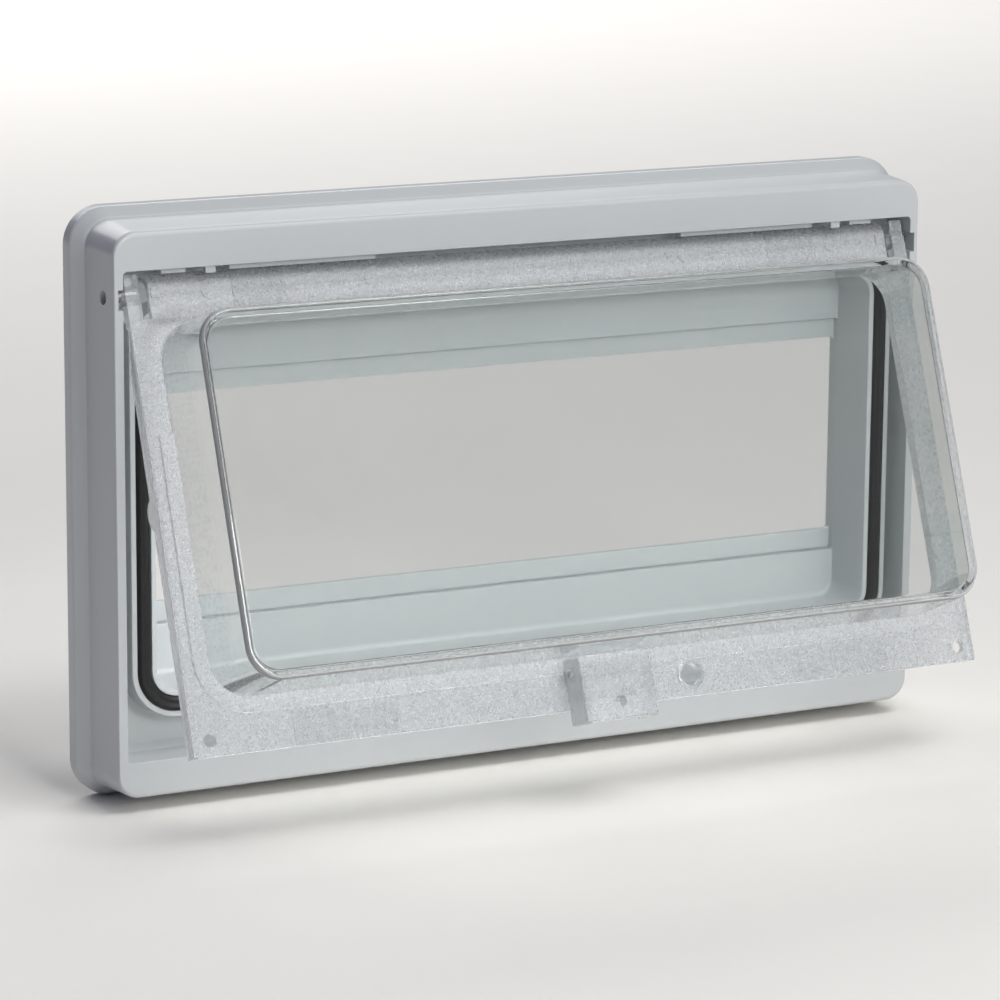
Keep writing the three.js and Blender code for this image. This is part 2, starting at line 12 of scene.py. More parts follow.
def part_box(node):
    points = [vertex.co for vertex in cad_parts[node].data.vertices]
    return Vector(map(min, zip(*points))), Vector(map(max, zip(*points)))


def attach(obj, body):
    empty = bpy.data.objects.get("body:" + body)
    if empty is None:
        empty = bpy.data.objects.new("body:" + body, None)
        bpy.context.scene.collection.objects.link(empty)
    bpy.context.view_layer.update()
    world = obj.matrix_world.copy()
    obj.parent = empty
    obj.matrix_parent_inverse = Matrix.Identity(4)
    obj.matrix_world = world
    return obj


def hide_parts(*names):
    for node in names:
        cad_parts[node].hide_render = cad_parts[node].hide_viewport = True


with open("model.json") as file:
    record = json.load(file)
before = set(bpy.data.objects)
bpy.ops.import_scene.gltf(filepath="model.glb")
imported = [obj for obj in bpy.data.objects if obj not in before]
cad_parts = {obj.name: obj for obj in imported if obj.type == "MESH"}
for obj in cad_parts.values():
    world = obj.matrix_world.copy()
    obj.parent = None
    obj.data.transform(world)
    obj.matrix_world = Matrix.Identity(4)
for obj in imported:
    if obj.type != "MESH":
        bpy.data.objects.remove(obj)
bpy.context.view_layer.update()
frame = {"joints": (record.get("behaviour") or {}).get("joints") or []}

bl_info = {
    "name": "Inspection Window",
    "version": (1, 0, 0),
    "blender": (4, 5, 0),
    "location": "View3D > Sidebar > Window",
    "description": "Builds a hinged inspection window with its finishes and a plain studio",
    "category": "Add Mesh",
}

MM = 0.001
FRAME_LOW, FRAME_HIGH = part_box("base_frame")
FRONT_Y = FRAME_LOW.y
DEPTH = FRAME_HIGH.y - FRAME_LOW.y
FLANGE_HALF_X = FRAME_HIGH.x
FLANGE_HALF_Z = FRAME_HIGH.z
JOINTS = {joint["name"]: joint for joint in frame["joints"]}
HINGE_POINT = Vector(JOINTS["cover_hinge"]["pos_m"])
OPEN_ANGLE = math.radians(-JOINTS["cover_hinge"]["range_deg"][0])
COVER_PLACE = Matrix.Translation(HINGE_POINT) @ Matrix.Rotation(-OPEN_ANGLE, 4, "X")
PULL_POINT = COVER_PLACE.inverted() @ Vector(JOINTS["latch_pull"]["pos_m"])
POLYCARBONATE_IOR = 1.585
CORNER_STEPS = 14
SOFT_STEPS = 5

# depths behind the frame's front
RECESS_DEPTH = 12.5 * MM
RIB_START = 14 * MM
MASK_FRONT = 20 * MM
MASK_STEP = 22 * MM
MASK_REAR = 24 * MM
SEAL_SEAT = DEPTH - 2.4 * MM

# places across and up the frame
RIB_HALF = 0.8 * MM
RIB_SPACING = 26 * MM
BAND_RIB = (68.6 * MM, 75.2 * MM)
BAND_HOLLOWS = ((69.1 * MM, 74.3 * MM), (-74.3 * MM, -69.6 * MM))
STRIPS = ((47.5 * MM, 90.8 * MM), (103.2 * MM, 110.5 * MM))
TAB = (95.6 * MM, 98.6 * MM)
CORE_HOLE = (93.2 * MM, 100.2 * MM)
NOTCH = (56.4 * MM, 61.9 * MM)
KEEPER_HALF = 9 * MM
KEEPER_FRONT = 5 * MM
KEEPER = (-60.6 * MM, -56.3 * MM)

# places on the shut cover, from its hinge axis
DOME_EDGE = 1.3 * MM
STEP_WIDTH = 4.2 * MM
STEP_RISE = 0.8 * MM
STEP_TOP = -38.6 * MM
BARREL_BORE = 3.5 * MM
BARREL_PAD = (75 * MM, 90.5 * MM)
LUG = (111.2 * MM, 114.0 * MM)
EJECTOR_MARKS = (48.7 * MM, 96.8 * MM)
EAR_WIDTH = 4.2 * MM
LIP_START = -22 * MM
LIP_TOP = -9 * MM
NUB_PLACE = 59
NUB_RADIUS = 4.5
NUB_RISE = 2.2
WIDE_PAD = (75 * MM, 92 * MM)
NARROW_PAD = (61 * MM, 74.4 * MM)
KNUCKLE_X = 8 * MM
KNUCKLE_HALF = 2.2 * MM
LOCK_PLACE = (28.3 * MM, 0, -118.4 * MM)
CORNER_HOLE = (116.0 * MM, -119.9 * MM)
PIN_RADIUS = 1.65 * MM
PIVOT_BORE = 1.5 * MM
LATCH_WALL = 2.1 * MM
LATCH_TOP = -110.4 * MM
LATCH_BOTTOM = -128.8 * MM
LATCH_ARM_REAR = 4 * MM


# ---- sizes and colours a user may change -----------------------------------------------
def length(name, text, millimetres):
    """A length property, given in millimetres and kept in metres."""
    return bpy.props.FloatProperty(
        name=name, description=text, default=millimetres * MM, min=0.0, precision=5, unit="LENGTH"
    )


def linear(hex_colour):
    """An sRGB hex colour such as 'c6cacb' as linear red, green and blue."""
    channels = [int(hex_colour[k : k + 2], 16) / 255 for k in (0, 2, 4)]
    return [c / 12.92 if c <= 0.04045 else ((c + 0.055) / 1.055) ** 2.4 for c in channels]


def colour(name, text, hex_colour):
    """A colour property, given as sRGB hex."""
    return bpy.props.FloatVectorProperty(
        name=name, description=text, default=linear(hex_colour), size=3, min=0, max=1, subtype="COLOR"
    )


class WindowFrameSizes(bpy.types.PropertyGroup):
    """Sizes of the moulded frame and its seals."""

    lip: length("Flange lip", "How far the rear flange stands out past the front outline", 4.2)
    flare: length("Flare", "How far the side walls lean outwards", 1.2)
    body_radius: length("Body corner radius", "Corner radius of the front outline", 6.3)
    front_fillet: length("Front fillet", "Rounding of the front edge", 1.5)
    rim: length("Rim", "Thickness of the side walls beside the recess", 2.7)
    recess_top: length("Recess top", "Height of the recess above the middle", 66.6)
    recess_bottom: length("Recess bottom", "Depth of the recess below the middle", 67.1)
    rib_front: length("Rib front", "Depth of the gasket ribs' front edges", 4.8)
    rib_half_x: length("Rib half width", "Half width of the outer gasket rib", 118.9)
    rib_half_z: length("Rib half height", "Half height of the outer gasket rib", 56.9)
    rib_radius: length("Rib corner radius", "Corner radius of the outer gasket rib", 13.4)
    rib: length("Rib thickness", "Thickness of the outer gasket rib", 1.6)
    groove: length("Groove width", "Width of the gasket groove", 4.2)
    groove_depth: length("Groove floor", "Depth of the gasket groove's floor", 8.0)
    tunnel_radius: length("Tunnel corner radius", "Corner radius of the tunnel", 6.0)
    ledge: length("First ledge", "Half height of the mask's first step", 34.64)
    slot: length("Window slot", "Half height of the opening for the modules", 28.75)
    crest: length("Gasket crest", "Depth of the gasket's highest line", 3.6)


class WindowCoverSizes(bpy.types.PropertyGroup):
    """Sizes of the clear cover, its hinge barrel and its latch."""

    half_x: length("Half width", "Half width of the cover's flange", 121.1)
    drop: length("Drop", "From the hinge axis to the cover's lower edge", 124.3)
    rise: length("Flange rise", "From the hinge axis to the flange's front face", 5.2)
    flange: length("Flange thickness", "Thickness of the flange", 2.0)
    dome_half_x: length("Dome half width", "Half width of the dome at its foot", 113.6)
    dome_top: length("Dome top", "From the hinge axis down to the dome's upper foot", 8.6)
    dome_bottom: length("Dome bottom", "From the hinge axis down to the dome's lower foot", 109.8)
    dome_height: length("Dome height", "How far the dome stands out of the flange", 23.7)
    dome_draft: length("Draft", "How much the dome narrows on each side", 1.6)
    dome_radius: length("Dome corner radius", "Corner radius of the dome at its foot", 11.0)
    wall: length("Dome wall", "Wall thickness of the dome", 2.2)
    lip: length("Side lip", "Thickness of the lips along the cover's sides", 1.6)
    lip_rise: length("Lip rear", "From the hinge axis to the rear of the side lips", 0.5)
    latch_half_x: length("Latch half width", "Half width of the latch", 11.2)
    latch_rise: length("Latch face", "From the hinge axis to the latch's front face", 16.0)


class WindowColours(bpy.types.PropertyGroup):
    """Colours of the finishes and the studio."""

    frame_grey: colour("Frame grey", "Moulded light grey of the frame", "c0c4c5")
    clear: colour("Clear plastic", "Tint of the polished polycarbonate", "e8ebea")
    frosted: colour("Frosted plastic", "Tint of the textured polycarbonate", "eceff1")
    rubber: colour("Seal black", "Black of the cover gasket", "070708")
    foam: colour("Panel seal", "Black of the cellular panel seal", "1b1b1b")
    steel: colour("Stainless steel", "Colour of the turned pins and the spring", "c4c5c6")
    zinc: colour("Zinc plate", "Colour of the fixing screws and washers", "cdd2d6")
    brass: colour("Brass", "Colour of the threaded inserts", "d9b76a")
    floor: colour("Floor", "Pale floor of the studio", "f5f2ec")


# ---- mesh making -----------------------------------------------------------------------
class Station(NamedTuple):
    """One rounded rectangle of a loft, in X and Z, at a place along Y."""

    half_x: float
    half_z: float
    radius: float
    y: float
    soft: float = 0.0
    mid_z: float = 0.0

    def grown(self, by, **changes):
        """The same outline moved outwards, with other values changed."""
        wider = self._replace(
            half_x=self.half_x + by,
            half_z=self.half_z + by,
            radius=max(self.radius + by, 0.3 * MM),
        )
        return wider._replace(**changes)


def blend_stations(a, b, share):
    """A station between two others."""
    mixed = [p + (q - p) * share for p, q in zip(a, b)]
    return Station(*mixed)


def distance(a, b):
    """How far apart two stations are, as the largest difference of their sizes."""
    return max(abs(p - q) for p, q in zip(a[:4], b[:4]))


def softened(stations, closed=False):
    """Round each station that has a soft value into a small fillet."""
    result = []
    count = len(stations)
    for k, here in enumerate(stations):
        before = stations[k - 1]
        after = stations[(k + 1) % count]
        at_end = not closed and k in (0, count - 1)
        if at_end or here.soft <= 0:
            result.append(here)
            continue
        start = blend_stations(here, before, min(0.48, here.soft / distance(here, before)))
        end = blend_stations(here, after, min(0.48, here.soft / distance(here, after)))
        for step in range(SOFT_STEPS + 1):
            share = step / SOFT_STEPS
            first = blend_stations(start, here, share)
            second = blend_stations(here, end, share)
            result.append(blend_stations(first, second, share))
    return result


def outline(station):
    """Points of a station's rounded rectangle."""
    points = []
    for corner in range(4):
        side_x = 1 if corner in (0, 3) else -1
        side_z = 1 if corner < 2 else -1
        for step in range(CORNER_STEPS + 1):
            angle = (corner + step / CORNER_STEPS) * math.pi / 2
            x = side_x * (station.half_x - station.radius) + station.radius * math.cos(angle)
            z = side_z * (station.half_z - station.radius) + station.radius * math.sin(angle)
            points.append(Vector((x, station.y, station.mid_z + z)))
    return points


def new_object(name, bm):
    """Turn a bmesh into a linked object with its faces pointing out."""
    bmesh.ops.recalc_face_normals(bm, faces=bm.faces)
    mesh = bpy.data.meshes.new(name)
    bm.to_mesh(mesh)
    bm.free()
    made = bpy.data.objects.new(name, mesh)
    bpy.context.scene.collection.objects.link(made)
    return made


def link_rings(bm, rings, closed):
    """Join rings of vertices with quads, and cap the ends of an open row."""
    pairs = list(zip(rings, rings[1:]))
    if closed:
        pairs.append((rings[-1], rings[0]))
    for near, far in pairs:
        for k in range(len(near)):
            bm.faces.new((near[k - 1], near[k], far[k], far[k - 1]))
    if not closed:
        bm.faces.new(rings[0])
        bm.faces.new(rings[-1][::-1])


def loft(name, stations, closed=False):
    """A solid through rounded rectangles, with its soft stations rounded."""
    bm = bmesh.new()
    rings = [[bm.verts.new(p) for p in outline(s)] for s in softened(stations, closed)]
    link_rings(bm, rings, closed)
    return new_object(name, bm)


def turned(name, profile, along, centre, segments=40, closed=False):
    """A lathe piece. The profile lists (place, radius) pairs along the X or Y axis."""
    bm = bmesh.new()
    rings = []
    for place, radius in profile:
        ring = []
        for k in range(segments):
            angle = 2 * math.pi * k / segments
            a, b = radius * math.cos(angle), radius * math.sin(angle)
            point = (place, a, b) if along == "X" else (a, place, b)
            ring.append(bm.verts.new(Vector(point) + Vector(centre)))
        rings.append(ring)
    link_rings(bm, rings, closed)
    return new_object(name, bm)


def rod(name, radius, start, end, along, centre, edge=0.0, segments=40):
    """A cylinder with its edges chamfered."""
    profile = [(start, radius), (end, radius)]
    if edge:
        small = radius - edge
        profile = [(start, small), (start + edge, radius), (end - edge, radius), (end, small)]
    return turned(name, profile, along, centre, segments)


def block(name, low, high, edge=0.0, segments=2):
    """A box with its edges rounded."""
    bm = bmesh.new()
    size = Vector(high) - Vector(low)
    place = Matrix.Translation((Vector(high) + Vector(low)) / 2) @ Matrix.Diagonal(size).to_4x4()
    bmesh.ops.create_cube(bm, size=1.0, matrix=place)
    if edge:
        bmesh.ops.bevel(bm, geom=bm.edges, offset=edge, segments=segments, profile=0.5, affect="EDGES")
    return new_object(name, bm)


def span(side, near, far):
    """Two X values in rising order, mirrored to one side."""
    return sorted((side * near, side * far))


def side_block(name, side, across, along_y, along_z, edge=0.0):
    """A block mirrored to one side, from its ranges in X, Y and Z."""
    low, high = span(side, *across)
    return block(name, (low, along_y[0], along_z[0]), (high, along_y[1], along_z[1]), edge)


def extruded(name, points, x_low, x_high, edge=0.0):
    """An outline of (y, z) points drawn along X, with its end edges rounded."""
    bm = bmesh.new()
    rings = [[bm.verts.new((x, y, z)) for y, z in points] for x in (x_low, x_high)]
    link_rings(bm, rings, closed=False)
    if edge:
        ends = [e for e in bm.edges if abs(e.verts[0].co.x - e.verts[1].co.x) < edge * 0.01]
        bmesh.ops.bevel(bm, geom=ends, offset=edge, segments=2, profile=0.5, affect="EDGES")
    return new_object(name, bm)


def combine(target, tools, operation):
    """Join tools to a piece, or cut them from it."""
    for tool in tools:
        change = target.modifiers.new("shape", "BOOLEAN")
        change.operation = operation
        change.solver = "MANIFOLD"
        change.object = tool
        evaluated = target.evaluated_get(bpy.context.evaluated_depsgraph_get())
        mesh = bpy.data.meshes.new_from_object(evaluated)
        if not mesh.polygons:
            raise RuntimeError(f"{target.name}: {operation} with {tool.name} left nothing")
        target.modifiers.clear()
        old = target.data
        target.data = mesh
        bpy.data.meshes.remove(old)
        bpy.data.objects.remove(tool)
    return target


def smooth(piece, angle=32.0):
    """Shade smoothly, with hard edges past an angle and flat faces kept flat."""
    mesh = piece.data
    mesh.shade_smooth()
    mesh.set_sharp_from_angle(angle=math.radians(angle))
    weighted = piece.modifiers.new("weighted", "WEIGHTED_NORMAL")
    weighted.keep_sharp = True
    weighted.weight = 80
    return piece


def stand_for(piece, body, slot, *nodes):
    """Let a finished piece ride on its body in place of its CAD nodes."""
    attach(piece, body)
    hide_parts(*nodes)
    return piece


def paint(piece, finishes, choose=None):
    """Give a piece its finishes; choose picks a finish's number for each face centre."""
    piece.data.materials.clear()
    for finish in finishes:
        piece.data.materials.append(finish)
    if choose:
        for face in piece.data.polygons:
            face.material_index = choose(face.center, face.normal)
    return piece


# ---- finishes --------------------------------------------------------------------------
def add_node(tree, kind, inputs=None, **settings):
    """Add a shader node, set its values, and link what is given as a socket."""
    node = tree.nodes.new(kind)
    for key, value in settings.items():
        setattr(node, key, value)
    for key, value in (inputs or {}).items():
        if isinstance(value, bpy.types.NodeSocket):
            tree.links.new(value, node.inputs[key])
        else:
            node.inputs[key].default_value = value
    return node


def new_material(name):
    """An empty node material and its tree."""
    material = bpy.data.materials.new(name)
    material.use_nodes = True
    material.node_tree.nodes.clear()
    return material, material.node_tree


def lets_lamps_through(tree, shader, share):
    """Let a share of the lamps' light pass straight through, as thin clear plastic does."""
    path = add_node(tree, "ShaderNodeLightPath")
    passing = add_node(
        tree,
        "ShaderNodeMath",
        {0: path.outputs["Is Shadow Ray"], 1: share},
        operation="MULTIPLY",
    )
    through = add_node(tree, "ShaderNodeBsdfTransparent")
    return add_node(
        tree,
        "ShaderNodeMixShader",
        {0: passing.outputs[0], 1: shader, 2: through.outputs[0]},
    ).outputs[0]


def surfaced(material, inputs, lamp_share=0.0):
    """Give a material its surface, which may let a share of the lamps' light through."""
    tree = material.node_tree
    surface = add_node(tree, "ShaderNodeBsdfPrincipled", inputs).outputs["BSDF"]
    if lamp_share:
        surface = lets_lamps_through(tree, surface, lamp_share)
    add_node(tree, "ShaderNodeOutputMaterial", {"Surface": surface})
    return material


def opaque(rgb):
    """A colour with an alpha of one."""
    return (*rgb, 1.0)


def speckle(tree, size_mm, low, high, detail=3.0, spread=0.25):
    """Noise of a real size in millimetres, spread between two values."""
    place = add_node(tree, "ShaderNodeTexCoord").outputs["Object"]
    grain = add_node(
        tree,
        "ShaderNodeTexNoise",
        {"Vector": place, "Scale": 1.0 / (size_mm * MM), "Detail": detail, "Roughness": 0.55},
    ).outputs["Fac"]
    ends = {"From Min": 0.5 - spread, "From Max": 0.5 + spread, "To Min": low, "To Max": high}
    return add_node(
        tree, "ShaderNodeMapRange", {"Value": grain, **ends}, interpolation_type="SMOOTHSTEP"
    ).outputs["Result"]


def streaked(tree, along_mm, across_mm):
    """Noise drawn out along X, for wiping and tool marks."""
    place = add_node(tree, "ShaderNodeTexCoord").outputs["Object"]
    stretch = (1.0 / (along_mm * MM), 1.0 / (across_mm * MM), 1.0 / (across_mm * MM))
    scaled = add_node(tree, "ShaderNodeMapping", {"Vector": place, "Scale": stretch}).outputs["Vector"]
    return add_node(
        tree, "ShaderNodeTexNoise", {"Vector": scaled, "Scale": 1.0, "Detail": 3.0, "Roughness": 0.6}
    ).outputs["Fac"]


def tinted(tree, factor, dark, light):
    """A colour between two others."""
    # a colour mix has its own A, B and Result sockets further down the list
    ends = {0: factor, 6: opaque(dark), 7: opaque(light)}
    return add_node(tree, "ShaderNodeMix", ends, data_type="RGBA").outputs[2]


def bumped(tree, height, strength, depth_mm):
    """A normal from a height, with the relief's real depth in millimetres."""
    return add_node(
        tree, "ShaderNodeBump", {"Height": height, "Strength": strength, "Distance": depth_mm * MM}
    ).outputs["Normal"]


def moulded_abs(name, rgb):
    """ABS, injection moulded in a polished tool: an even light grey with soft reflections."""
    material, tree = new_material(name)
    # wiping leaves faint streaks along the bands that shine a little less
    streaks = streaked(tree, 14.0, 0.9)
    sheen = add_node(
        tree,
        "ShaderNodeMapRange",
        {"Value": streaks, "From Min": 0.35, "From Max": 0.7, "To Min": 0.28, "To Max": 0.32},
    ).outputs["Result"]
    cloud = speckle(tree, 30.0, 0.0, 1.0)
    body = tinted(tree, cloud, [c * 0.99 for c in rgb], rgb)
    return surfaced(material, {
        "Base Color": body,
        "Roughness": sheen,
        "Normal": bumped(tree, streaks, 0.01, 0.005),
        "IOR": 1.54,
    })


def polished_polycarbonate(name, rgb):
    """Polycarbonate, moulded in a polished tool: crystal clear, with dark and bright edge lines."""
    material, tree = new_material(name)
    # faint ripples of the moulding, which bend the reflections along the dome
    ripple = speckle(tree, 14.0, 0.0, 1.0, detail=1.0)
    wear = speckle(tree, 5.0, 0.012, 0.045)
    return surfaced(material, {
        "Base Color": opaque(rgb),
        "Roughness": wear,
        "Normal": bumped(tree, ripple, 0.04, 0.04),
        "IOR": POLYCARBONATE_IOR,
        "Transmission Weight": 1.0,
    }, lamp_share=0.88)


def frosted_polycarbonate(name, rgb, milk, roughness, relief, depth):
    """Polycarbonate from a spark-eroded tool: a milky, sparkling grain on both faces."""
    material, tree = new_material(name)
    # the eroded grain is about 0.15 mm; it is drawn at 0.42 mm so that it shows
    grain = speckle(tree, 0.42, 0.0, 1.0, detail=3.0, spread=0.18)
    glints = speckle(tree, 1.3, roughness - 0.06, roughness + 0.06)
    return surfaced(material, {
        "Base Color": tinted(tree, grain, [c * depth for c in rgb], rgb),
        "Roughness": glints,
        "Normal": bumped(tree, grain, relief, 0.22),
        "IOR": POLYCARBONATE_IOR,
        "Transmission Weight": 1.0 - milk,
    }, lamp_share=0.7)


def rubber_finish(name, rgb, roughness, grain_mm):
    """EPDM rubber: near black, with a soft dull shine that follows its rounded back."""
    material, tree = new_material(name)
    pores = speckle(tree, grain_mm, 0.0, 1.0)
    bloom = speckle(tree, 6.0, roughness - 0.06, roughness + 0.06)
    return surfaced(material, {
        "Base Color": tinted(tree, pores, [c * 0.75 for c in rgb], rgb),
        "Roughness": bloom,
        "Normal": bumped(tree, pores, 0.25, 0.05),
        "IOR": 1.5,
    })


def metal_finish(name, rgb, roughness, grain_mm):
    """Turned or plated metal: bright, with fine tool marks that soften the reflections."""
    material, tree = new_material(name)
    marks = speckle(tree, grain_mm, 0.0, 1.0, detail=5.0)
    return surfaced(material, {
        "Base Color": tinted(tree, marks, [c * 0.86 for c in rgb], rgb),
        "Roughness": speckle(tree, grain_mm * 3, roughness - 0.07, roughness + 0.07),
        "Normal": bumped(tree, marks, 0.2, 0.02),
        "Metallic": 1.0,
    })


def finish(name):
    """A finish by name, made the first time it is asked for."""
    ready = bpy.data.materials.get(name)
    if ready:
        return ready
    colours = bpy.context.scene.window_colours
    # the maker and its colour, then milk, roughness, relief and depth for the frosted plastics,
    # or roughness and grain in millimetres for rubber and metal
    makers = {
        "moulded_light_grey_abs": (moulded_abs, colours.frame_grey),
        "polished_polycarbonate": (polished_polycarbonate, colours.clear),
        "frosted_polycarbonate": (frosted_polycarbonate, colours.frosted, 0.34, 0.29, 0.30, 0.62),
        "coarse_frosted_polycarbonate": (frosted_polycarbonate, colours.frosted, 0.31, 0.27, 0.42, 0.54),
        "satin_polycarbonate": (frosted_polycarbonate, colours.frosted, 0.24, 0.20, 0.12, 0.86),
        # the milkier finish on the dome's rounded front edge paints bright lines along it: a painted
        # highlight, not wear
        "worn_polycarbonate_edge": (frosted_polycarbonate, colours.clear, 0.36, 0.10, 0.0, 0.9),
        "extruded_epdm": (rubber_finish, colours.rubber, 0.46, 0.6),
        "cellular_epdm": (rubber_finish, colours.foam, 0.78, 0.8),
        "turned_stainless_steel": (metal_finish, colours.steel, 0.3, 0.3),
        "drawn_spring_wire": (metal_finish, colours.steel, 0.38, 0.25),
        "zinc_plated_steel": (metal_finish, colours.zinc, 0.27, 0.5),
        "turned_brass": (metal_finish, colours.brass, 0.32, 0.3),
    }
    make, *values = makers[name]
    return make(name, *values)


# ---- frame and seals -------------------------------------------------------------------
def body_station(sizes, depth, by=0.0, soft=0.0):
    """The frame's front outline, moved outwards, at a depth behind the front."""
    front = Station(
        FLANGE_HALF_X - sizes.lip, FLANGE_HALF_Z - sizes.lip, sizes.body_radius, FRONT_Y + depth, soft
    )
    return front.grown(by)


def rib_station(sizes, depth, by=0.0, soft=0.0):
    """The outer gasket rib's outline, moved outwards, at a depth behind the front."""
    rib = Station(sizes.rib_half_x, sizes.rib_half_z, sizes.rib_radius, FRONT_Y + depth, soft)
    return rib.grown(by)


def frame_stations(sizes):
    """The frame's cross-section, once round from the rear flange over the front and back."""
    lip = sizes.lip
    recess = Station(
        FLANGE_HALF_X - lip - sizes.rim,
        (sizes.recess_top + sizes.recess_bottom) / 2,
        1.2 * MM,
        FRONT_Y,
        0.3 * MM,
        (sizes.recess_top - sizes.recess_bottom) / 2,
    )
    groove_in = -sizes.rib - sizes.groove
    tunnel = rib_station(sizes, sizes.rib_front, groove_in - 1.5 * MM, 0.45 * MM)
    tunnel = tunnel._replace(radius=sizes.tunnel_radius)
    tunnel_rear = tunnel.grown(-1.2 * MM, y=FRONT_Y + MASK_FRONT, soft=1.6 * MM)
    # small steps in width keep the stations' side faces apart
    ledge = tunnel_rear._replace(
        half_x=tunnel_rear.half_x - 0.04 * MM, half_z=sizes.ledge, radius=0.8 * MM, soft=0.12 * MM
    )
    slot = ledge._replace(half_x=ledge.half_x - 0.04 * MM, half_z=sizes.slot, radius=1.2 * MM)
    # a thin joint runs along the foot of the mask's plates
    joint = ledge._replace(
        half_x=ledge.half_x - 0.02 * MM, half_z=ledge.half_z - 0.4 * MM, soft=0.05 * MM
    )
    joint_depth = MASK_STEP + 0.6 * MM
    outer = tunnel.grown(2.2 * MM, y=FRONT_Y + MASK_REAR, soft=0.4 * MM)
    hollow = body_station(sizes, 15 * MM, -sizes.rim, 0.6 * MM)
    seal = body_station(sizes, DEPTH, lip - 4.7 * MM, 0.2 * MM)
    seal_out = body_station(sizes, DEPTH, lip - 1.3 * MM, 0.2 * MM)
    return [
        body_station(sizes, DEPTH, lip, 0.4 * MM),
        body_station(sizes, 21.1 * MM, lip, 0.8 * MM),
        body_station(sizes, 17.6 * MM, sizes.flare + 0.6 * MM, 0.35 * MM),
        body_station(sizes, 17.0 * MM, sizes.flare, 0.2 * MM),
        body_station(sizes, 0.0, 0.0, sizes.front_fillet),
        recess,
        recess._replace(y=FRONT_Y + RECESS_DEPTH, soft=0.6 * MM),
        rib_station(sizes, RECESS_DEPTH, 0.2 * MM, 0.8 * MM),
        rib_station(sizes, sizes.rib_front, 0.0, 0.4 * MM),
        rib_station(sizes, sizes.rib_front, -sizes.rib, 0.3 * MM),
        rib_station(sizes, sizes.groove_depth, -sizes.rib, 0.3 * MM),
        rib_station(sizes, sizes.groove_depth, groove_in, 0.3 * MM),
        rib_station(sizes, sizes.rib_front, groove_in, 0.3 * MM),
        tunnel,
        tunnel_rear,
        ledge,
        ledge._replace(y=FRONT_Y + joint_depth, soft=0.05 * MM),
        joint._replace(y=FRONT_Y + joint_depth),
        joint._replace(y=FRONT_Y + MASK_STEP),
        slot._replace(y=FRONT_Y + MASK_STEP),
        slot._replace(y=FRONT_Y + MASK_REAR),
        outer,
        outer._replace(y=FRONT_Y + 15 * MM, soft=0.6 * MM),
        hollow,
        hollow._replace(y=FRONT_Y + DEPTH, soft=0.3 * MM),
        seal,
        seal._replace(y=FRONT_Y + SEAL_SEAT),
        seal_out._replace(y=FRONT_Y + SEAL_SEAT),
        seal_out,
    ]


def rear_ribs():
    """Stiffening ribs and insert bosses in the hollow behind the recess."""
    solids = []
    start, mouth = FRONT_Y + RIB_START, FRONT_Y + DEPTH
    rear = mouth - 1.2 * MM
    for side in (-1, 1):
        for k in range(-4, 5):
            left, right = k * RIB_SPACING - RIB_HALF, k * RIB_SPACING + RIB_HALF
            low, high = span(side, 50.8 * MM, BAND_RIB[1])
            solids.append(block("rib", (left, start, low), (right, rear, high)))
            low, high = span(side, *BAND_RIB)
            solids.append(block("band_rib", (left, FRONT_Y + 2.6 * MM, low),
                                (right, start + 0.5 * MM, high)))
        for z in (-30 * MM, 0, 30 * MM):
            solids.append(side_block("rib", side, (112.8 * MM, 123.2 * MM), (start, rear),
                                     (z - RIB_HALF, z + RIB_HALF)))
    for place in fixing_places():
        solids.append(rod("boss", 5.2 * MM, start, mouth, "Y", place, 0.3 * MM))
    return solids


def fixing_places():
    """Where the six fixings stand, from the CAD inserts."""
    places = []
    for k in range(1, 7):
        low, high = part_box(f"threaded_insert_{k}")
        middle = (low + high) / 2
        places.append((middle.x, 0.0, middle.z))
    return places


def recess_extras(sizes):
    """Keeper for the latch, stop tabs, floor strips and the slope at the recess's foot."""
    solids = []
    top = sizes.recess_top + 0.5 * MM
    floor_y = FRONT_Y + RECESS_DEPTH
    for side in (-1, 1):
        solids.append(side_block("tab", side, TAB, (FRONT_Y + 0.4 * MM, FRONT_Y + 2.4 * MM),
                                 (64.8 * MM, top), 0.2 * MM))
        for strip in STRIPS:
            solids.append(side_block("strip", side, strip, (FRONT_Y + 2.6 * MM, floor_y + 0.5 * MM),
                                     (65.0 * MM, top), 0.3 * MM))
    bottom = -sizes.recess_bottom
    buried = floor_y + 0.4 * MM
    solids.append(extruded("foot", [
        (floor_y - 1.8 * MM, bottom - 0.4 * MM),
        (buried, bottom - 0.4 * MM),
        (buried, bottom + 1.8 * MM),
        (floor_y, bottom + 1.8 * MM),
        (floor_y - 1.8 * MM, bottom),
    ], -122.6 * MM, 122.6 * MM))
    front = FRONT_Y + KEEPER_FRONT
    for side in (-1, 1):
        solids.append(side_block("keeper_post", side, (KEEPER_HALF - 2 * MM, KEEPER_HALF),
                                 (front, buried), KEEPER, 0.25 * MM))
    solids.append(block("keeper_bar", (-KEEPER_HALF, front, KEEPER[0]),
                        (KEEPER_HALF, front + 2.2 * MM, KEEPER[1]), 0.25 * MM))
    return solids


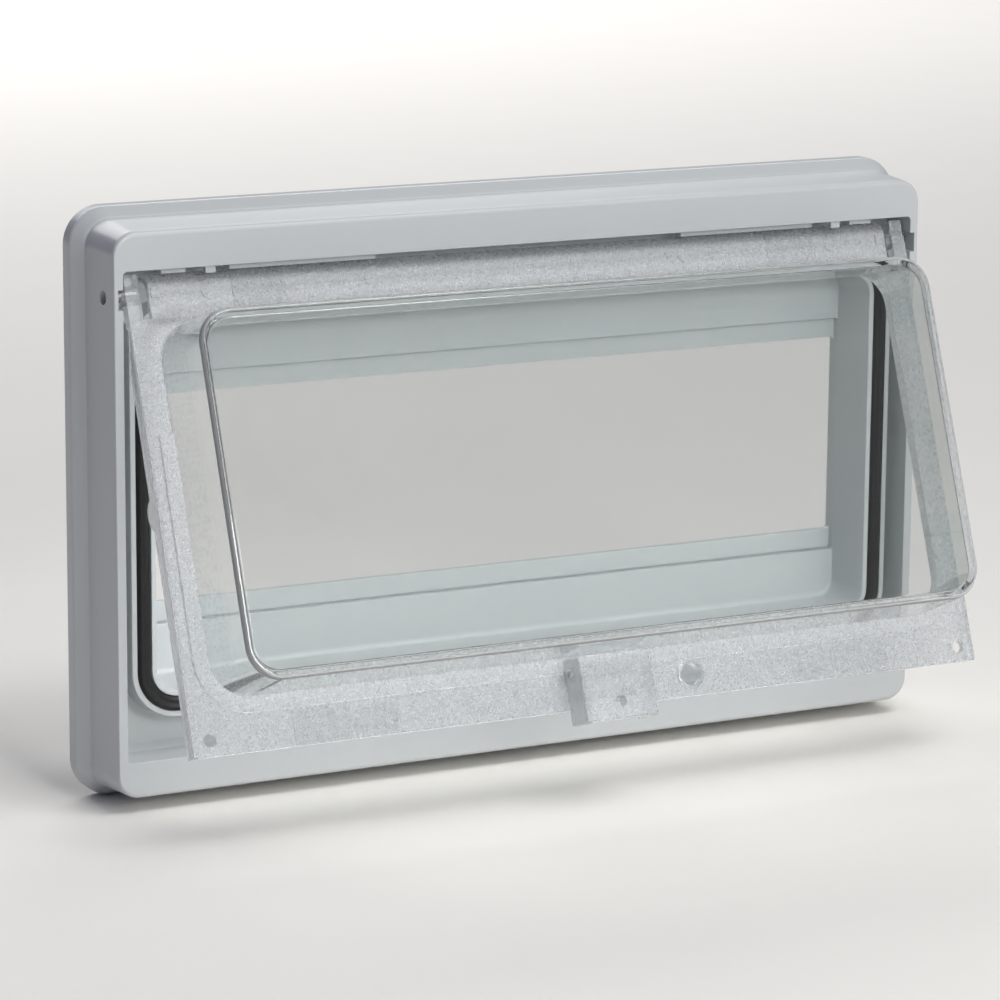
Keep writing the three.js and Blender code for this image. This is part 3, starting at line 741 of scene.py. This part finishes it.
def frame_cuts(sizes):
    """Pin holes, snap-in notches, core holes and the hollows behind the bands."""
    tools = []
    half = FLANGE_HALF_X - sizes.lip
    for side in (-1, 1):
        low, high = span(side, half - 4 * MM, half + 4 * MM)
        tools.append(rod("pin_hole", 1.95 * MM, low, high, "X", (0, HINGE_POINT.y, HINGE_POINT.z)))
        tools.append(side_block("notch", side, (half - 4 * MM, half - sizes.rim + 1.4 * MM),
                                (FRONT_Y - MM, FRONT_Y + 9 * MM), NOTCH))
        tools.append(side_block("core", side, CORE_HOLE, (FRONT_Y + 6.2 * MM, FRONT_Y + 11.8 * MM),
                                (sizes.recess_top - MM, sizes.recess_top + 4 * MM)))
    for low, high in BAND_HOLLOWS:
        tools.append(block("band_hollow", (-119.8 * MM, FRONT_Y + 3 * MM, low),
                           (119.8 * MM, FRONT_Y + 16 * MM, high)))
    return tools


def insert_bores():
    """Blind holes for the threaded inserts."""
    return [rod("bore", 3.3 * MM, -9.2 * MM, MM, "Y", place) for place in fixing_places()]


def build_frame(sizes):
    """The moulded frame with its recess, gasket ribs, tunnel, mask and rear hollow."""
    piece = loft("frame_moulding", frame_stations(sizes), closed=True)
    combine(piece, frame_cuts(sizes), "DIFFERENCE")
    combine(piece, recess_extras(sizes) + rear_ribs(), "UNION")
    combine(piece, insert_bores(), "DIFFERENCE")
    paint(smooth(piece), [finish("moulded_light_grey_abs")])
    return stand_for(piece, "frame", "frame_plastic", "base_frame")


def seal_ring(name, outer_by, width, floor, crest, sizes):
    """A seal with two rounded ridges and a shallow valley between them."""
    valley = crest + 0.5 * MM
    quarter = width / 4
    stations = [
        rib_station(sizes, floor, outer_by, 0.3 * MM),
        rib_station(sizes, crest + 1.0 * MM, outer_by, 0.6 * MM),
        rib_station(sizes, crest, outer_by - quarter * 0.9, 0.5 * MM),
        rib_station(sizes, valley, outer_by - quarter * 2.2, 0.3 * MM),
        rib_station(sizes, crest + 0.25 * MM, outer_by - quarter * 3.1, 0.4 * MM),
        rib_station(sizes, crest + 1.2 * MM, outer_by - width, 0.5 * MM),
        rib_station(sizes, floor, outer_by - width, 0.3 * MM),
    ]
    return loft(name, stations, closed=True)


def build_cover_gasket(sizes):
    """The black rubber ring between the two ribs."""
    gap = 0.03 * MM
    piece = seal_ring(
        "cover_seal",
        -sizes.rib - gap,
        sizes.groove - 2 * gap,
        sizes.groove_depth - gap,
        sizes.crest,
        sizes,
    )
    paint(smooth(piece, 60), [finish("extruded_epdm")])
    return stand_for(piece, "frame", "gasket_rubber", "cover_gasket")


def build_panel_gasket(sizes):
    """The cellular seal in the rear flange's groove."""
    lip = sizes.lip
    outer, inner = lip - 1.35 * MM, lip - 4.65 * MM
    piece = loft("panel_seal", [
        body_station(sizes, DEPTH - 2.3 * MM, outer, 0.2 * MM),
        body_station(sizes, DEPTH - 0.1 * MM, outer, 0.6 * MM),
        body_station(sizes, DEPTH - 0.1 * MM, inner, 0.6 * MM),
        body_station(sizes, DEPTH - 2.3 * MM, inner, 0.2 * MM),
    ], closed=True)
    paint(smooth(piece, 60), [finish("cellular_epdm")])
    return stand_for(piece, "frame", "panel_seal_rubber", "panel_gasket")


# ---- cover, drawn closed around its hinge axis and then swung open ---------------------
def dome_station(sizes, rise, by=0.0, soft=0.0):
    """The dome's outline, moved outwards, at a rise in front of the hinge axis."""
    base = Station(
        sizes.dome_half_x,
        (sizes.dome_bottom - sizes.dome_top) / 2,
        sizes.dome_radius,
        -rise,
        soft,
        -(sizes.dome_bottom + sizes.dome_top) / 2,
    )
    return base.grown(by)


def flange_station(sizes, rise, by=0.0, soft=0.0):
    """The cover's flange outline, from behind the barrel to the lower edge."""
    top = sizes.dome_top - MM
    base = Station(
        sizes.half_x, (sizes.drop - top) / 2, 0.9 * MM, -rise, soft, -(sizes.drop + top) / 2
    )
    return base.grown(by)


def dome_and_flange(sizes):
    """One closed shell: the flange with the hollow dome standing on it."""
    rear = sizes.rise - sizes.flange
    front = sizes.rise + sizes.dome_height
    return loft("cover_moulding", [
        dome_station(sizes, front, -sizes.dome_draft - 14 * MM),
        dome_station(sizes, front, -sizes.dome_draft, DOME_EDGE),
        dome_station(sizes, sizes.rise, 0.0, 0.9 * MM),
        flange_station(sizes, sizes.rise, 0.0, 0.35 * MM),
        flange_station(sizes, rear, 0.0, 0.2 * MM),
        dome_station(sizes, rear, -sizes.wall, 0.5 * MM),
        dome_station(sizes, front - sizes.wall, -sizes.wall - sizes.dome_draft, 0.6 * MM),
        dome_station(sizes, front - sizes.wall, -sizes.wall - sizes.dome_draft - 12 * MM),
    ])


def barrel_outline(sizes, inner, outer):
    """The half-round hinge barrel in section, open at the back."""
    points = []
    rear, low = math.radians(100), math.radians(-20)
    for k in range(25):
        angle = rear + (low - rear) * k / 24
        points.append((-outer * math.cos(angle), outer * math.sin(angle)))
    foot = -sizes.dome_top - 1.5 * MM
    points += [(-outer, foot), (-sizes.rise + sizes.flange, foot)]
    for k in range(19):
        angle = low + (rear - low) * k / 18
        points.append((-inner * math.cos(angle), inner * math.sin(angle)))
    return points


def step_ring(sizes):
    """The low step round the dome's foot, left out beside the dome's upper part."""
    front, rear = sizes.rise + STEP_RISE, sizes.rise - sizes.flange + 0.4 * MM
    ring = loft("step", [
        dome_station(sizes, front, STEP_WIDTH, 0.35 * MM),
        dome_station(sizes, rear, STEP_WIDTH),
        dome_station(sizes, rear, -1.2 * MM),
        dome_station(sizes, front, -1.2 * MM),
    ], closed=True)
    above = block("above", (-130 * MM, -10 * MM, STEP_TOP), (130 * MM, 0, 2 * MM))
    return combine(ring, [above], "DIFFERENCE")


def lip_outlines(sizes):
    """The side lip with its tapered start, and the half-disc nub on it, as (y, z) points."""
    buried = -sizes.rise + 0.4 * MM
    lip = [
        (buried, -sizes.drop),
        (-sizes.lip_rise, -sizes.drop),
        (-sizes.lip_rise, LIP_START),
        (-sizes.rise + sizes.flange, LIP_TOP),
        (buried, LIP_TOP),
    ]
    nub = [(buried, (NUB_RADIUS - NUB_PLACE) * MM), (buried, (-NUB_RADIUS - NUB_PLACE) * MM)]
    for k in range(17):
        angle = math.pi * (k / 16 - 0.5)
        nub.append(((NUB_RADIUS * math.cos(angle) - NUB_RISE) * MM,
                    (NUB_RADIUS * math.sin(angle) - NUB_PLACE) * MM))
    return lip, nub


def cover_additions(sizes):
    """Barrel, step, side lips, ears, pads and the latch's hinge knuckles."""
    face = -sizes.rise
    flange_rear = face + sizes.flange
    buried = face + 0.5 * MM
    end = sizes.half_x - EAR_WIDTH - 2.4 * MM
    solids = [extruded("barrel", barrel_outline(sizes, BARREL_BORE, sizes.rise), -end, end)]
    solids.append(step_ring(sizes))
    lip, nub = lip_outlines(sizes)
    pad_barrel = barrel_outline(sizes, BARREL_BORE + 0.3 * MM, sizes.rise + 0.2 * MM)
    for side in (-1, 1):
        low, high = span(side, sizes.half_x - sizes.lip, sizes.half_x)
        solids.append(extruded("lip", lip, low, high, 0.25 * MM))
        solids.append(extruded("nub", nub, low, high, 0.25 * MM))
        low, high = span(side, *BARREL_PAD)
        solids.append(extruded("barrel_pad", pad_barrel, low, high, 0.1 * MM))
        solids.append(side_block("lug", side, LUG, (face - 0.5 * MM, -4 * MM),
                                 (-2.1 * MM, 0.8 * MM), 0.2 * MM))
        for x in EJECTOR_MARKS:
            solids.append(rod("ejector", 2.8 * MM, face - 0.08 * MM, -4 * MM, "Y",
                              (side * x, 0, -0.6 * MM), 0.06 * MM))
        ear = (sizes.half_x - EAR_WIDTH, sizes.half_x)
        solids.append(side_block("ear", side, ear, (-5.0 * MM, 3.0 * MM),
                                 (-3.4 * MM, 4.7 * MM), 0.5 * MM))
        solids.append(side_block("ear_root", side, ear, (face, flange_rear + 1.2 * MM),
                                 (-sizes.dome_top - MM, 0), 0.2 * MM))
        knuckle = side * KNUCKLE_X
        solids.append(block(
            "knuckle",
            (knuckle - 0.9 * MM, PULL_POINT.y - 2.4 * MM, PULL_POINT.z - KNUCKLE_HALF),
            (knuckle + 0.9 * MM, buried, PULL_POINT.z + KNUCKLE_HALF),
            0.4 * MM,
        ))
        solids.append(side_block("pad", side, WIDE_PAD, (face - 0.25 * MM, buried),
                                 (-124.2 * MM, -114.6 * MM), 0.15 * MM))
        solids.append(side_block("pad", side, NARROW_PAD, (face - 0.15 * MM, buried),
                                 (-123.6 * MM, -115.4 * MM), 0.1 * MM))
    solids.append(turned("lock_rim", [
        (face - 0.9 * MM, 3.6 * MM),
        (face - 0.6 * MM, 4.1 * MM),
        (buried, 4.2 * MM),
    ], "Y", LOCK_PLACE))
    return solids


def cover_cuts(sizes):
    """Corner holes, lock hole, latch notch and pin holes."""
    front_y, back_y = -sizes.rise - 3 * MM, -sizes.rise + sizes.flange + 3 * MM
    tools = [
        rod("lock_hole", 3.2 * MM, front_y, back_y, "Y", LOCK_PLACE),
        block("latch_notch", (-6.6 * MM, front_y, -126 * MM), (6.6 * MM, back_y, -117.4 * MM)),
        rod("pivot_hole", PIVOT_BORE, -10 * MM, 10 * MM, "X", PULL_POINT),
    ]
    for side in (-1, 1):
        place = (side * CORNER_HOLE[0], 0, CORNER_HOLE[1])
        tools.append(rod("corner_hole", 1.8 * MM, front_y, back_y, "Y", place))
        low, high = span(side, sizes.half_x - EAR_WIDTH - MM, sizes.half_x + MM)
        tools.append(rod("pin_hole", 2.05 * MM, low, high, "X", (0, 0, 0)))
    return tools


def in_dome(sizes, point, margin):
    """True where a point lies within the dome's outline, grown by a margin."""
    base = dome_station(sizes, 0.0, margin)
    dx = abs(point.x) - (base.half_x - base.radius)
    dz = abs(point.z - base.mid_z) - (base.half_z - base.radius)
    if dx <= 0 or dz <= 0:
        return dx <= base.radius and dz <= base.radius
    return math.hypot(dx, dz) <= base.radius


def cover_finishes(sizes):
    """The cover's finishes, and a rule that picks one for each face."""
    finishes = [
        "polished_polycarbonate",
        "frosted_polycarbonate",
        "satin_polycarbonate",
        "worn_polycarbonate_edge",
        "coarse_frosted_polycarbonate",
    ]
    polished, frosted, satin, edge_highlight, coarse = range(len(finishes))
    ear_start = sizes.half_x - EAR_WIDTH - 0.1 * MM
    edge_start = sizes.rise + sizes.dome_height - DOME_EDGE - 0.1 * MM

    def choose(centre, normal):
        out = abs(centre.x)
        if in_dome(sizes, centre, 0.15 * MM):
            # the dome's rounded front edge takes the milkier finish, which paints a bright highlight
            # along it
            return edge_highlight if -centre.y > edge_start and 0.1 < -normal.y < 0.97 else polished
        if out > ear_start and centre.z > LIP_TOP:
            return satin
        if math.hypot(centre.x - LOCK_PLACE[0], centre.z - LOCK_PLACE[2]) < 4.4 * MM:
            return polished
        on_barrel_pad = BARREL_PAD[0] - 0.1 * MM < out < BARREL_PAD[1] + 0.1 * MM and centre.z > LIP_TOP
        on_pad = (
            NARROW_PAD[0] - 0.1 * MM < out < WIDE_PAD[1] + 0.1 * MM
            and -124.3 * MM < centre.z < -114.5 * MM
            and -centre.y > sizes.rise + 0.1 * MM
        )
        if on_barrel_pad or on_pad:
            return coarse
        on_lip = out > sizes.half_x - sizes.lip - 0.2 * MM
        on_edge = abs(normal.y) < 0.85 and centre.z < LIP_TOP - MM
        return satin if on_lip or on_edge else frosted

    return [finish(name) for name in finishes], choose


def build_cover(sizes):
    """The clear cover with its frosted flange and hinge barrel."""
    piece = dome_and_flange(sizes)
    combine(piece, cover_additions(sizes), "UNION")
    combine(piece, cover_cuts(sizes), "DIFFERENCE")
    paint(smooth(piece), *cover_finishes(sizes))
    piece.data.transform(COVER_PLACE)
    return stand_for(piece, "cover", "cover_polycarbonate", "cover_shell")


def build_hinge_pin(sizes, name, side):
    """A short turned pin that runs from the cover's ear into the frame's side wall."""
    low, high = span(side, sizes.half_x - 4.0 * MM, FLANGE_HALF_X - 4.8 * MM)
    piece = rod(f"{name}_turned", PIN_RADIUS, low, high, "X", (0, 0, 0), 0.35 * MM)
    paint(smooth(piece), [finish("turned_stainless_steel")])
    piece.data.transform(COVER_PLACE)
    return stand_for(piece, "cover", "pin_steel", name)


# ---- latch -----------------------------------------------------------------------------
def build_latch_lever(sizes):
    """The box-shaped pull with its hook, hung on the latch pin."""
    half, face = sizes.latch_half_x, -sizes.latch_rise
    inner, inside = half - LATCH_WALL, face + LATCH_WALL
    out, rear = half + MM, -7.2 * MM
    piece = block("latch_moulding", (-half, face, LATCH_BOTTOM),
                  (half, -6.2 * MM, LATCH_TOP), 0.7 * MM, 3)
    combine(piece, [
        block("inside", (-inner, inside, LATCH_BOTTOM - 4 * MM),
              (inner, MM, LATCH_TOP - 1.2 * MM), 0.4 * MM),
        block("over_band", (-out, rear, LATCH_BOTTOM - MM), (out, 0, -124.6 * MM)),
        block("over_step", (-out, rear, -114.0 * MM), (out, 0, LATCH_TOP + MM)),
    ], "DIFFERENCE")
    arm = 5.6 * MM
    joins = [
        block("arm", (-arm, face + MM, -122.6 * MM), (arm, LATCH_ARM_REAR, -120.4 * MM), 0.25 * MM),
        extruded("barb", [
            (LATCH_ARM_REAR - 2.5 * MM, -120.9 * MM),
            (LATCH_ARM_REAR, -120.9 * MM),
            (LATCH_ARM_REAR, -120.2 * MM),
            (LATCH_ARM_REAR - 2.5 * MM, -118.8 * MM),
        ], 0.1 * MM - arm, arm - 0.1 * MM),
        block("face_panel", (-inner, face - 0.12 * MM, -127.0 * MM),
              (inner, face + 0.5 * MM, -113.0 * MM), 0.1 * MM),
    ]
    for side in (-1, 1):
        low, high = span(side, inner, half - 0.1 * MM)
        joins.append(rod("boss", 2.3 * MM, low, high, "X", PULL_POINT))
    combine(piece, joins, "UNION")
    combine(piece, [
        rod("pivot_hole", PIVOT_BORE, -20 * MM, 20 * MM, "X", PULL_POINT),
        rod("wire_hole", 1.7 * MM, face - MM, face + 3 * MM, "Y", (0, 0, -123.8 * MM)),
    ], "DIFFERENCE")

    def choose(centre, normal):
        on_face = normal.y < -0.8 and centre.y < face + 0.2 * MM
        return 1 if on_face else 0

    paint(smooth(piece), [finish("satin_polycarbonate"), finish("frosted_polycarbonate")], choose)
    piece.data.transform(COVER_PLACE)
    return stand_for(piece, "latch", "latch_polycarbonate", "latch_lever")


def build_latch_pin():
    """The pin that the latch turns on."""
    piece = rod("latch_pin_turned", 1.2 * MM, -10.9 * MM, 10.9 * MM, "X", PULL_POINT, 0.3 * MM)
    paint(smooth(piece), [finish("turned_stainless_steel")])
    piece.data.transform(COVER_PLACE)
    return stand_for(piece, "cover", "pin_steel", "latch_pin")


def build_latch_spring():
    """A wire coil round the latch pin with its two ends capped."""
    turns, steps, wire, radius, long = 9, 20, 0.42 * MM, 2.0 * MM, 9.4 * MM
    curve = bpy.data.curves.new("latch_coil", "CURVE")
    curve.dimensions = "3D"
    curve.bevel_depth = wire
    curve.bevel_resolution = 4
    curve.use_fill_caps = True
    line = curve.splines.new("POLY")
    count = turns * steps + 1
    line.points.add(count - 1)
    for k in range(count):
        angle = 2 * math.pi * k / steps
        x = long * (k / (count - 1) - 0.5)
        offset = Vector((x, radius * math.cos(angle), radius * math.sin(angle)))
        point = COVER_PLACE @ (Vector((0, PULL_POINT.y, PULL_POINT.z)) + offset)
        line.points[k].co = (*point, 1.0)
    shape = bpy.data.objects.new("latch_coil_line", curve)
    bpy.context.scene.collection.objects.link(shape)
    evaluated = shape.evaluated_get(bpy.context.evaluated_depsgraph_get())
    mesh = bpy.data.meshes.new_from_object(evaluated)
    bpy.data.objects.remove(shape)
    piece = bpy.data.objects.new("latch_coil", mesh)
    bpy.context.scene.collection.objects.link(piece)
    mesh.shade_smooth()
    paint(piece, [finish("drawn_spring_wire")])
    return stand_for(piece, "cover", "spring_steel", "latch_spring")


# ---- fixings ---------------------------------------------------------------------------
def threaded(name, radius, start, end, pitch, ridge, centre):
    """A rod with a helical thread along Y that fades out at both ends."""
    segments, per_turn = 32, 10
    rows = int((end - start) / pitch * per_turn)
    bm = bmesh.new()
    rings = []
    for row in range(rows + 1):
        y = start + (end - start) * row / rows
        fade = min(1.0, min(row, rows - row) / (per_turn * 0.6))
        ring = []
        for k in range(segments):
            angle = 2 * math.pi * k / segments
            phase = (y / pitch + k / segments) % 1.0
            r = radius - ridge * fade * abs(2 * phase - 1)
            place = (centre[0] + r * math.cos(angle), y, centre[2] + r * math.sin(angle))
            ring.append(bm.verts.new(place))
        rings.append(ring)
    link_rings(bm, rings, closed=False)
    return new_object(name, bm)


def build_fixing(k, place):
    """One insert in its boss, with the screw and washer that clamp the panel."""
    insert = turned(f"insert_turned_{k}", [
        (-8.3 * MM, 2.3 * MM),
        (-8.3 * MM, 2.7 * MM),
        (-8.0 * MM, 3.0 * MM),
        (-5.0 * MM, 3.0 * MM),
        (-4.8 * MM, 2.75 * MM),
        (-4.2 * MM, 2.75 * MM),
        (-4.0 * MM, 3.0 * MM),
        (-0.6 * MM, 3.0 * MM),
        (-0.3 * MM, 2.8 * MM),
        (-0.3 * MM, 2.5 * MM),
        (-0.6 * MM, 2.3 * MM),
    ], "Y", place, 36, closed=True)
    paint(smooth(insert), [finish("turned_brass")])
    stand_for(insert, "frame", "insert_brass", f"threaded_insert_{k}")
    washer_low, washer_high = (corner.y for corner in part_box(f"fixing_washer_{k}"))
    washer = turned(f"washer_stamped_{k}", [
        (washer_low, 2.3 * MM),
        (washer_low, 4.4 * MM),
        (washer_low + 0.1 * MM, 4.5 * MM),
        (washer_high - 0.15 * MM, 4.5 * MM),
        (washer_high, 4.35 * MM),
        (washer_high, 2.4 * MM),
        (washer_high - 0.1 * MM, 2.3 * MM),
    ], "Y", place, 40, closed=True)
    paint(smooth(washer), [finish("zinc_plated_steel")])
    stand_for(washer, "frame", "fixing_steel", f"fixing_washer_{k}")
    low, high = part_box(f"fixing_screw_{k}")
    under = washer_high + 0.1 * MM
    screw = turned(f"screw_cold_headed_{k}", [
        (under - 0.2 * MM, 1.9 * MM),
        (under, 2.2 * MM),
        (under, 3.85 * MM),
        (under + 0.3 * MM, 4.0 * MM),
        (under + 1.1 * MM, 3.95 * MM),
        (high.y - 0.6 * MM, 3.5 * MM),
        (high.y - 0.15 * MM, 2.6 * MM),
        (high.y, 1.3 * MM),
    ], "Y", place, 40)
    thread = threaded("thread", 1.98 * MM, low.y, under + 0.4 * MM, 0.7 * MM, 0.38 * MM, place)
    combine(screw, [thread], "UNION")
    arms = []
    for wide, tall in ((2.1, 0.45), (0.45, 2.1)):
        arms.append(block("arm", (place[0] - wide * MM, high.y - 1.5 * MM, place[2] - tall * MM),
                          (place[0] + wide * MM, high.y + MM, place[2] + tall * MM)))
    combine(screw, arms, "DIFFERENCE")
    paint(smooth(screw), [finish("zinc_plated_steel")])
    stand_for(screw, "frame", "fixing_steel", f"fixing_screw_{k}")


# ---- studio ----------------------------------------------------------------------------
CAMERA_AZIMUTH = math.radians(-27.46)
CAMERA_ELEVATION = math.radians(12.14)
CAMERA_ROLL = math.radians(0.446)
CAMERA_TARGET = Vector((-8.7 * MM, -22.3 * MM, -5.5 * MM))
CAMERA_DISTANCE = 1185.5 * MM
CAMERA_LENS = 153.24


def build_camera():
    """A long lens at the stored view."""
    a, e = CAMERA_AZIMUTH, CAMERA_ELEVATION
    back = Vector((math.sin(a) * math.cos(e), -math.cos(a) * math.cos(e), math.sin(e)))
    level = Vector((math.cos(a), math.sin(a), 0))
    upright = back.cross(level)
    right = level * math.cos(CAMERA_ROLL) + upright * math.sin(CAMERA_ROLL)
    up = back.cross(right)
    turn = Matrix((right, up, back)).transposed().to_4x4()
    data = bpy.data.cameras.new("studio_camera")
    data.lens = CAMERA_LENS
    data.clip_end = 50.0
    camera = bpy.data.objects.new("studio_camera", data)
    camera.matrix_world = Matrix.Translation(CAMERA_TARGET + back * CAMERA_DISTANCE) @ turn
    bpy.context.scene.collection.objects.link(camera)
    bpy.context.scene.camera = camera


def add_softbox(name, place, aim, size, power):
    """A rectangular area light that faces a point."""
    data = bpy.data.lights.new(name, "AREA")
    data.shape = "RECTANGLE"
    data.size, data.size_y = size
    data.energy = power
    lamp = bpy.data.objects.new(name, data)
    lamp.location = place
    lamp.rotation_euler = (Vector(aim) - Vector(place)).to_track_quat("-Z", "Y").to_euler()
    bpy.context.scene.collection.objects.link(lamp)


def build_floor(rgb):
    """A wide, plain, pale floor that the window stands on."""
    bm = bmesh.new()
    bmesh.ops.create_grid(bm, x_segments=1, y_segments=1, size=12.0)
    floor = new_object("studio_floor", bm)
    floor.location.z = FRAME_LOW.z - 0.2 * MM
    material, tree = new_material("matt_painted_floor")
    paint_tone = tinted(tree, speckle(tree, 60.0, 0.0, 1.0), [c * 0.99 for c in rgb], rgb)
    floor.data.materials.append(surfaced(material, {"Base Color": paint_tone, "Roughness": 0.75}))


def build_world():
    """Pale surroundings, dimmer and cooler towards the left."""
    world = bpy.data.worlds.new("studio_world")
    world.use_nodes = True
    tree = world.node_tree
    tree.nodes.clear()
    place = add_node(tree, "ShaderNodeTexCoord").outputs["Generated"]
    side = add_node(tree, "ShaderNodeSeparateXYZ", {0: place}).outputs["X"]
    to_right = add_node(
        tree,
        "ShaderNodeMapRange",
        {"Value": side, "From Min": -0.7, "From Max": 0.5, "To Min": 0.0, "To Max": 1.0},
        interpolation_type="SMOOTHSTEP",
    ).outputs["Result"]
    background = add_node(
        tree,
        "ShaderNodeBackground",
        {"Color": tinted(tree, to_right, (0.06, 0.07, 0.13), (0.17, 0.17, 0.17)), "Strength": 1.0},
    )
    output = add_node(tree, "ShaderNodeOutputWorld")
    tree.links.new(background.outputs[0], output.inputs["Surface"])
    bpy.context.scene.world = world


def build_lights():
    """A broad overhead light, a lower one in front and a large one over the floor behind."""
    add_softbox("key_softbox", (0.20, -0.50, 0.95), (0.03, 0, 0), (0.7, 0.5), 6.2)
    add_softbox("front_softbox", (0.06, -1.25, 0.42), (0, 0, 0), (0.5, 0.35), 6.4)
    add_softbox("rear_softbox", (0.4, 2.5, 1.6), (0.4, 2.5, 0), (3.0, 2.0), 62.0)


# ---- operators, panel and registration -------------------------------------------------
class WINDOW_OT_frame(bpy.types.Operator):
    """Build the moulded frame"""

    bl_idname = "window.build_frame"
    bl_label = "Frame"

    def execute(self, context):
        build_frame(context.scene.window_frame)
        return {"FINISHED"}


class WINDOW_OT_seals(bpy.types.Operator):
    """Build the cover gasket and the panel seal"""

    bl_idname = "window.build_seals"
    bl_label = "Seals"

    def execute(self, context):
        build_cover_gasket(context.scene.window_frame)
        build_panel_gasket(context.scene.window_frame)
        return {"FINISHED"}


class WINDOW_OT_cover(bpy.types.Operator):
    """Build the clear domed cover"""

    bl_idname = "window.build_cover"
    bl_label = "Cover"

    def execute(self, context):
        build_cover(context.scene.window_cover)
        return {"FINISHED"}


class WINDOW_OT_hinge_pins(bpy.types.Operator):
    """Build the two hinge pins"""

    bl_idname = "window.build_hinge_pins"
    bl_label = "Hinge pins"

    def execute(self, context):
        build_hinge_pin(context.scene.window_cover, "hinge_pin_left", -1)
        build_hinge_pin(context.scene.window_cover, "hinge_pin_right", 1)
        return {"FINISHED"}


class WINDOW_OT_latch(bpy.types.Operator):
    """Build the latch with its pin and spring"""

    bl_idname = "window.build_latch"
    bl_label = "Latch"

    def execute(self, context):
        build_latch_lever(context.scene.window_cover)
        build_latch_pin()
        build_latch_spring()
        return {"FINISHED"}


class WINDOW_OT_fixings(bpy.types.Operator):
    """Build the threaded inserts, screws and washers behind the frame"""

    bl_idname = "window.build_fixings"
    bl_label = "Fixings"

    def execute(self, context):
        for k, place in enumerate(fixing_places(), start=1):
            build_fixing(k, place)
        return {"FINISHED"}


class WINDOW_OT_stage(bpy.types.Operator):
    """Build the camera, floor, surroundings and lights"""

    bl_idname = "window.build_stage"
    bl_label = "Stage"

    def execute(self, context):
        build_camera()
        build_floor(context.scene.window_colours.floor)
        build_world()
        build_lights()
        context.scene.view_settings.view_transform = "Standard"
        return {"FINISHED"}


class WINDOW_PT_builder(bpy.types.Panel):
    """Buttons, sizes and colours of the inspection window"""

    bl_label = "Inspection Window"
    bl_space_type = "VIEW_3D"
    bl_region_type = "UI"
    bl_category = "Window"

    def draw(self, context):
        for operator in OPERATORS:
            self.layout.operator(operator.bl_idname)
        for key in GROUPS:
            group = getattr(context.scene, key)
            column = self.layout.column(align=True)
            for name in group.__annotations__:
                column.prop(group, name)


OPERATORS = (
    WINDOW_OT_stage,
    WINDOW_OT_frame,
    WINDOW_OT_seals,
    WINDOW_OT_cover,
    WINDOW_OT_hinge_pins,
    WINDOW_OT_latch,
    WINDOW_OT_fixings,
)
GROUPS = {
    "window_frame": WindowFrameSizes,
    "window_cover": WindowCoverSizes,
    "window_colours": WindowColours,
}


def register():
    """Register the classes and hang the settings on the scene."""
    for group in GROUPS.values():
        bpy.utils.register_class(group)
    for operator in OPERATORS:
        bpy.utils.register_class(operator)
    bpy.utils.register_class(WINDOW_PT_builder)
    for name, group in GROUPS.items():
        setattr(bpy.types.Scene, name, bpy.props.PointerProperty(type=group))


def unregister():
    """Take everything back out, in reverse."""
    for name in reversed(GROUPS):
        delattr(bpy.types.Scene, name)
    bpy.utils.unregister_class(WINDOW_PT_builder)
    for operator in reversed(OPERATORS):
        bpy.utils.unregister_class(operator)
    for group in reversed(GROUPS.values()):
        bpy.utils.unregister_class(group)


def main():
    """Build everything in order."""
    register()
    bpy.ops.window.build_stage()
    bpy.ops.window.build_frame()
    bpy.ops.window.build_seals()
    bpy.ops.window.build_cover()
    bpy.ops.window.build_hinge_pins()
    bpy.ops.window.build_latch()
    bpy.ops.window.build_fixings()


if __name__ == "__main__":
    main()
